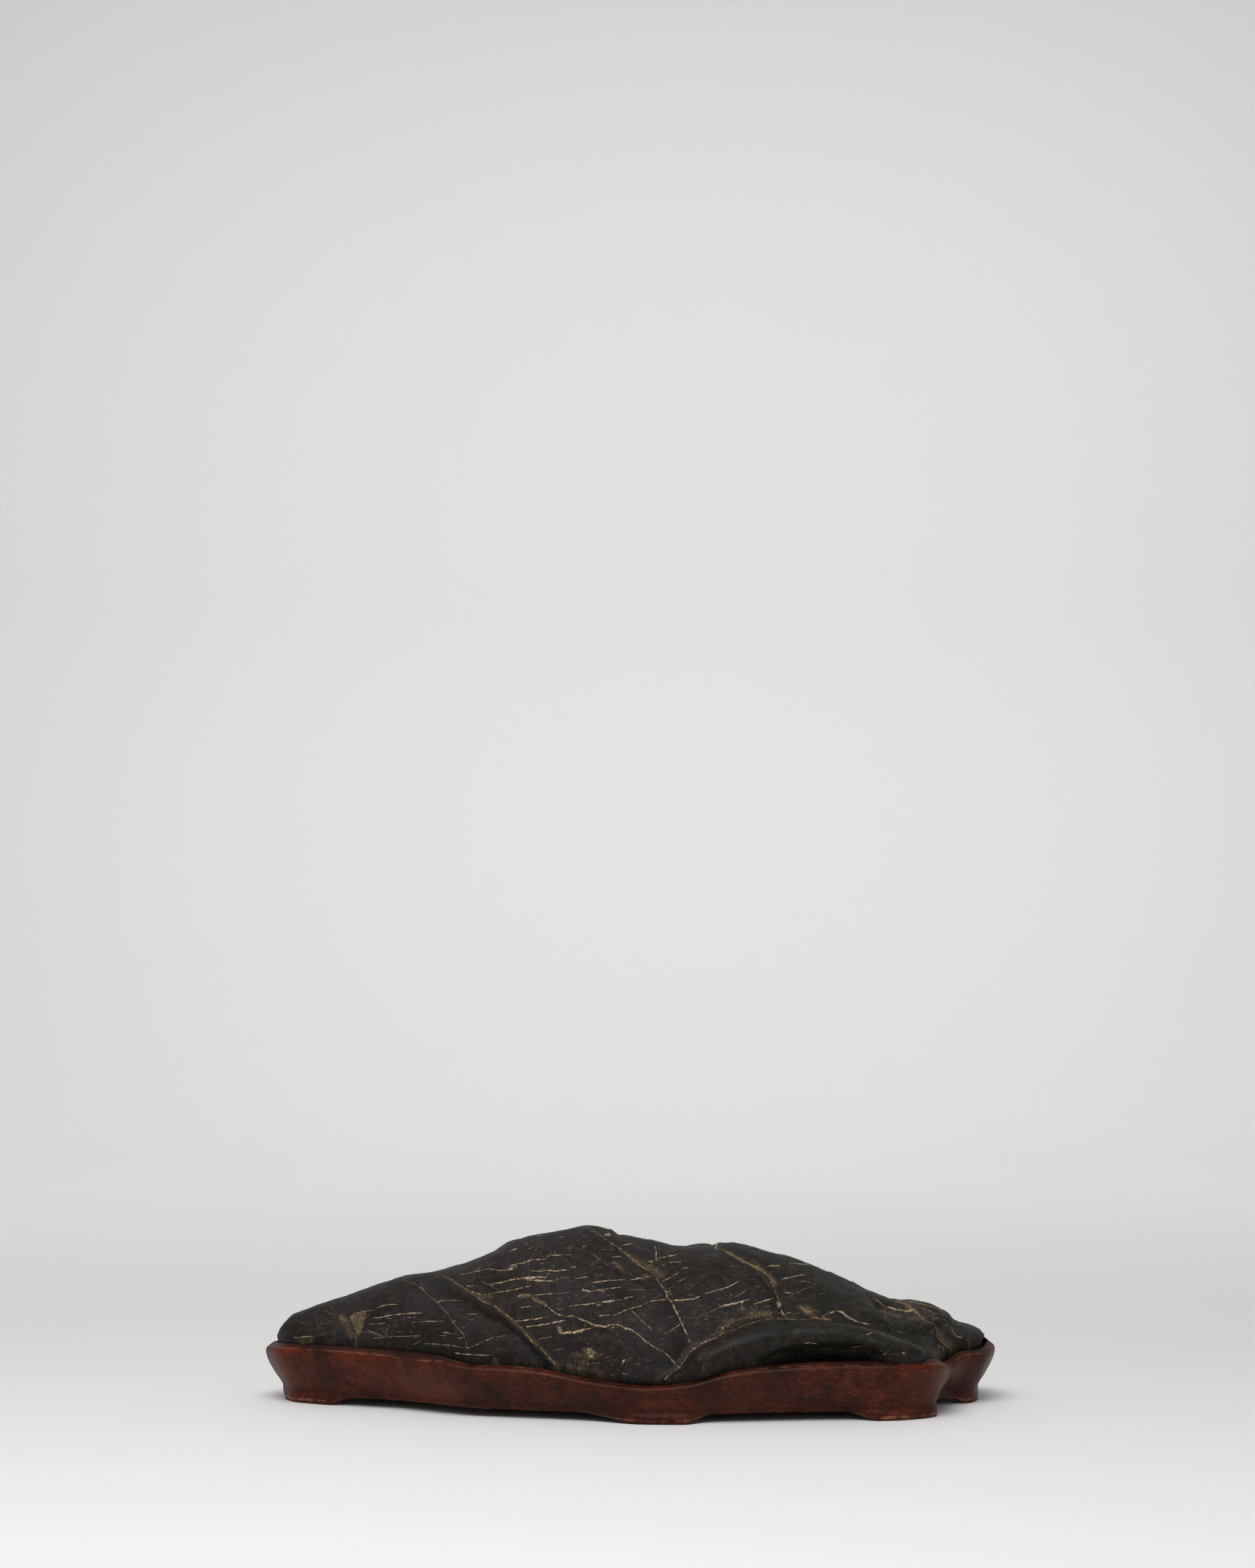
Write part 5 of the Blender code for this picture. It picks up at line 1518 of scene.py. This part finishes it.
# %% [markdown]
# ## Dark stained hardwood
#
# The stand is a rosewood-like hardwood, stained dark red-brown, oiled and waxed. Its grain runs
# along the block: fine dark pores a few millimetres long, with orange-brown wood between them.
# The pale orange flecks along the grain are partly that wood and partly painted glints of light on
# the pores. The carved edges are worn paler, and that pale colour is also a painted highlight on the
# rim's shoulder and the feet's lips. The rim's bevel and the necks over the feet are darkened as
# painted shade, and the wood is darker about the middle.
# It could be a plain noise, but wood needs one that is stretched along the fibres. Wax over wood
# is satin, with the IOR of 1.5 of most organics.

# %% Hardwood
PORE_LENGTH = 3.2  # mm
PORE_WIDTH = 0.4
FIBRE_LENGTH = 14.0
FIBRE_WIDTH = 0.9
STAIN_SIZE = 24.0
PATCH_SIZE = 6.0
DARKER_MIDDLE_AT = 10.0  # mm to the right
DARKER_MIDDLE_REACH = (20.0, 75.0)  # mm from there, to where it is full and to where it ends

hardwood, tree, shader = new_material("waxed dark stained hardwood")
where = add_node(tree, "TexCoord").outputs["Object"]
along_fibres = add_node(tree, "Mapping", where, None, None, (FIBRE_WIDTH / FIBRE_LENGTH, 1.0, 1.0))
along_pores = add_node(tree, "Mapping", where, None, None, (PORE_WIDTH / PORE_LENGTH, 1.0, 1.0))
fibres = add_node(tree, "TexNoise", along_fibres, 1 / (FIBRE_WIDTH * MM), 4.0, 0.6)
pores = add_node(tree, "TexNoise", along_pores, 1 / (PORE_WIDTH * MM), 2.0, 0.5)
stains = add_node(tree, "TexNoise", where, 1 / (STAIN_SIZE * MM), 3.0, 0.6)
patches = add_node(tree, "TexNoise", where, 1 / (PATCH_SIZE * MM), 3.0, 0.6)
figure = add_node(tree, "Math", fibres, 0.9, stains, operation="MULTIPLY_ADD")
figure = add_node(tree, "Math", patches, 0.4, figure, operation="MULTIPLY_ADD")
depth = add_node(tree, "MapRange", figure, 0.85, 1.4)
ramp = add_node(tree, "ValToRGB", depth)
ramp.color_ramp.elements[0].color = linear("#1f0a06")
ramp.color_ramp.elements[1].color = linear("#5a2411")
ramp.color_ramp.elements.new(0.5).color = linear("#3e160c")
# Pale flecks along the grain: partly the wood's own figure, partly painted glints of light on the pores.
flecks_and_glints = add_node(tree, "MapRange", pores, 0.56, 0.74, 0.0, 0.6, **SOFTLY)
fleck_and_glint_here = add_node(tree, "MapRange", stains, 0.4, 0.6, 0.3, 1.0)
flecks_and_glints = add_node(tree, "Math", flecks_and_glints, fleck_and_glint_here, operation="MULTIPLY")
dark_pores = add_node(tree, "MapRange", pores, 0.4, 0.3, 0.0, 0.7, **SOFTLY)
# Worn edges turn paler: partly real wear, partly a painted highlight on the shoulder and the lips.
edge = add_node(tree, "Attribute", attribute_name="worn_edge_and_highlight")
rub_and_highlight = add_node(tree, "Math", edge.outputs["Fac"], patches, operation="MULTIPLY")
rub_and_highlight = add_node(tree, "MapRange", rub_and_highlight, 0.35, 0.6, 0.0, 0.6, **SOFTLY)
# The wood is darker about the middle.
off_middle = add_node(tree, "SeparateXYZ", where).outputs[0]
off_middle = add_node(tree, "Math", off_middle, -DARKER_MIDDLE_AT * MM, operation="ADD")
off_middle = add_node(tree, "Math", off_middle, operation="ABSOLUTE")
full, ends = DARKER_MIDDLE_REACH
darker_middle = add_node(tree, "MapRange", off_middle, full * MM, ends * MM, 0.4, 0.0, **SOFTLY)
# Painted shade on the rim's bevel under the stone, and over the feet's necks.
shade_share = add_node(tree, "Attribute", attribute_name="painted_shade")
shade_share = add_node(tree, "Math", shade_share.outputs["Fac"], 0.8, operation="MULTIPLY")
colour = ramp
for share, swatch in (
    (flecks_and_glints, "#9a5528"),
    (dark_pores, "#150706"),
    (rub_and_highlight, "#93604a"),
    (darker_middle, "#1f0a06"),
    (shade_share, "#140705"),
):
    colour = add_node(tree, "Mix", share, colour, linear(swatch), **COLOUR)
tree.links.new(colour.outputs[2], shader.inputs["Base Color"])
satin = add_node(tree, "Math", fibres, 0.2, 0.34, operation="MULTIPLY_ADD")
tree.links.new(satin.outputs[0], shader.inputs["Roughness"])
shader.inputs["Specular IOR Level"].default_value = 0.16
relief_mm = add_node(tree, "Math", fibres, 0.06, operation="MULTIPLY")
relief_mm = add_node(tree, "Math", pores, 0.05, relief_mm, operation="MULTIPLY_ADD")
bump = add_node(tree, "Bump", named={"Strength": 1.0, "Distance": MM, "Height": relief_mm})
tree.links.new(bump.outputs[0], shader.inputs["Normal"])
stand_mesh.materials.append(hardwood)
print(hardwood.name, "has", len(tree.nodes), "nodes")

# %% [markdown]
# ## Studio light
#
# A small object is lit inside a light tent: a big soft box overhead, a higher one that is aimed
# at the backdrop, and pale walls all round. One lamp would do, but with hard shadows. The
# overhead box draws the long highlights on the rim and on the roll of the stone, and the tent
# keeps the shadows open. Three narrow boxes even out the wall, where the paper curves up, and two
# even out the floor behind and before the object.

# %% Lights and surroundings
TENT_GREY = "#dadada"
TENT_STRENGTH = 0.54


def soft_box(name, place, look_at, size, power, beam=180.0, colour="#ffffff"):
    """A rectangular lamp: places in metres, power in watts, beam in degrees."""
    lamp = bpy.data.lights.new(name, "AREA")
    lamp.shape = "RECTANGLE"
    lamp.size = size[0]
    lamp.size_y = size[1]
    lamp.energy = power
    lamp.spread = math.radians(beam)
    lamp.color = linear(colour)[:3]
    box = bpy.data.objects.new(name, lamp)
    box.location = place
    box.rotation_euler = (Vector(look_at) - Vector(place)).to_track_quat("-Z", "Y").to_euler()
    bpy.context.scene.collection.objects.link(box)


soft_box("overhead box", (-0.3, -0.8, 1.4), (-0.1, -0.6, 0.0), (1.2, 0.8), 10.6)
soft_box("high back box", (0.0, -1.2, 2.6), (0.0, 1.12, 0.6), (1.6, 0.6), 20)
soft_box("wall box", (0.0, 0.9, 2.2), (0.0, 1.95, 0.5), (1.8, 0.4), 0.86, 90.0)
soft_box("wall box left", (-0.5, 0.8, 1.35), (-0.35, 1.95, 0.35), (0.8, 0.3), 0.78, 80.0, "#fbf9ff")
soft_box("wall box right", (0.5, 0.8, 1.35), (0.35, 1.95, 0.35), (0.8, 0.3), 0.96, 80.0, "#fafffd")
soft_box("far floor box", (0.0, 1.05, 1.5), (0.0, 1.05, 0.0), (2.4, 0.4), 1.09, 60.0)
soft_box("near floor box", (-0.1, -1.0, 1.4), (-0.1, -0.75, 0.0), (1.2, 0.4), 0.64, 70.0)

tent = bpy.data.worlds.new("light tent")
tent.use_nodes = True
surround = tent.node_tree.nodes["Background"]
surround.inputs["Color"].default_value = linear(TENT_GREY)
surround.inputs["Strength"].default_value = TENT_STRENGTH
bpy.context.scene.world = tent
bpy.context.scene.view_settings.view_transform = "Standard"

# %% The end of the scene
print("scene built")
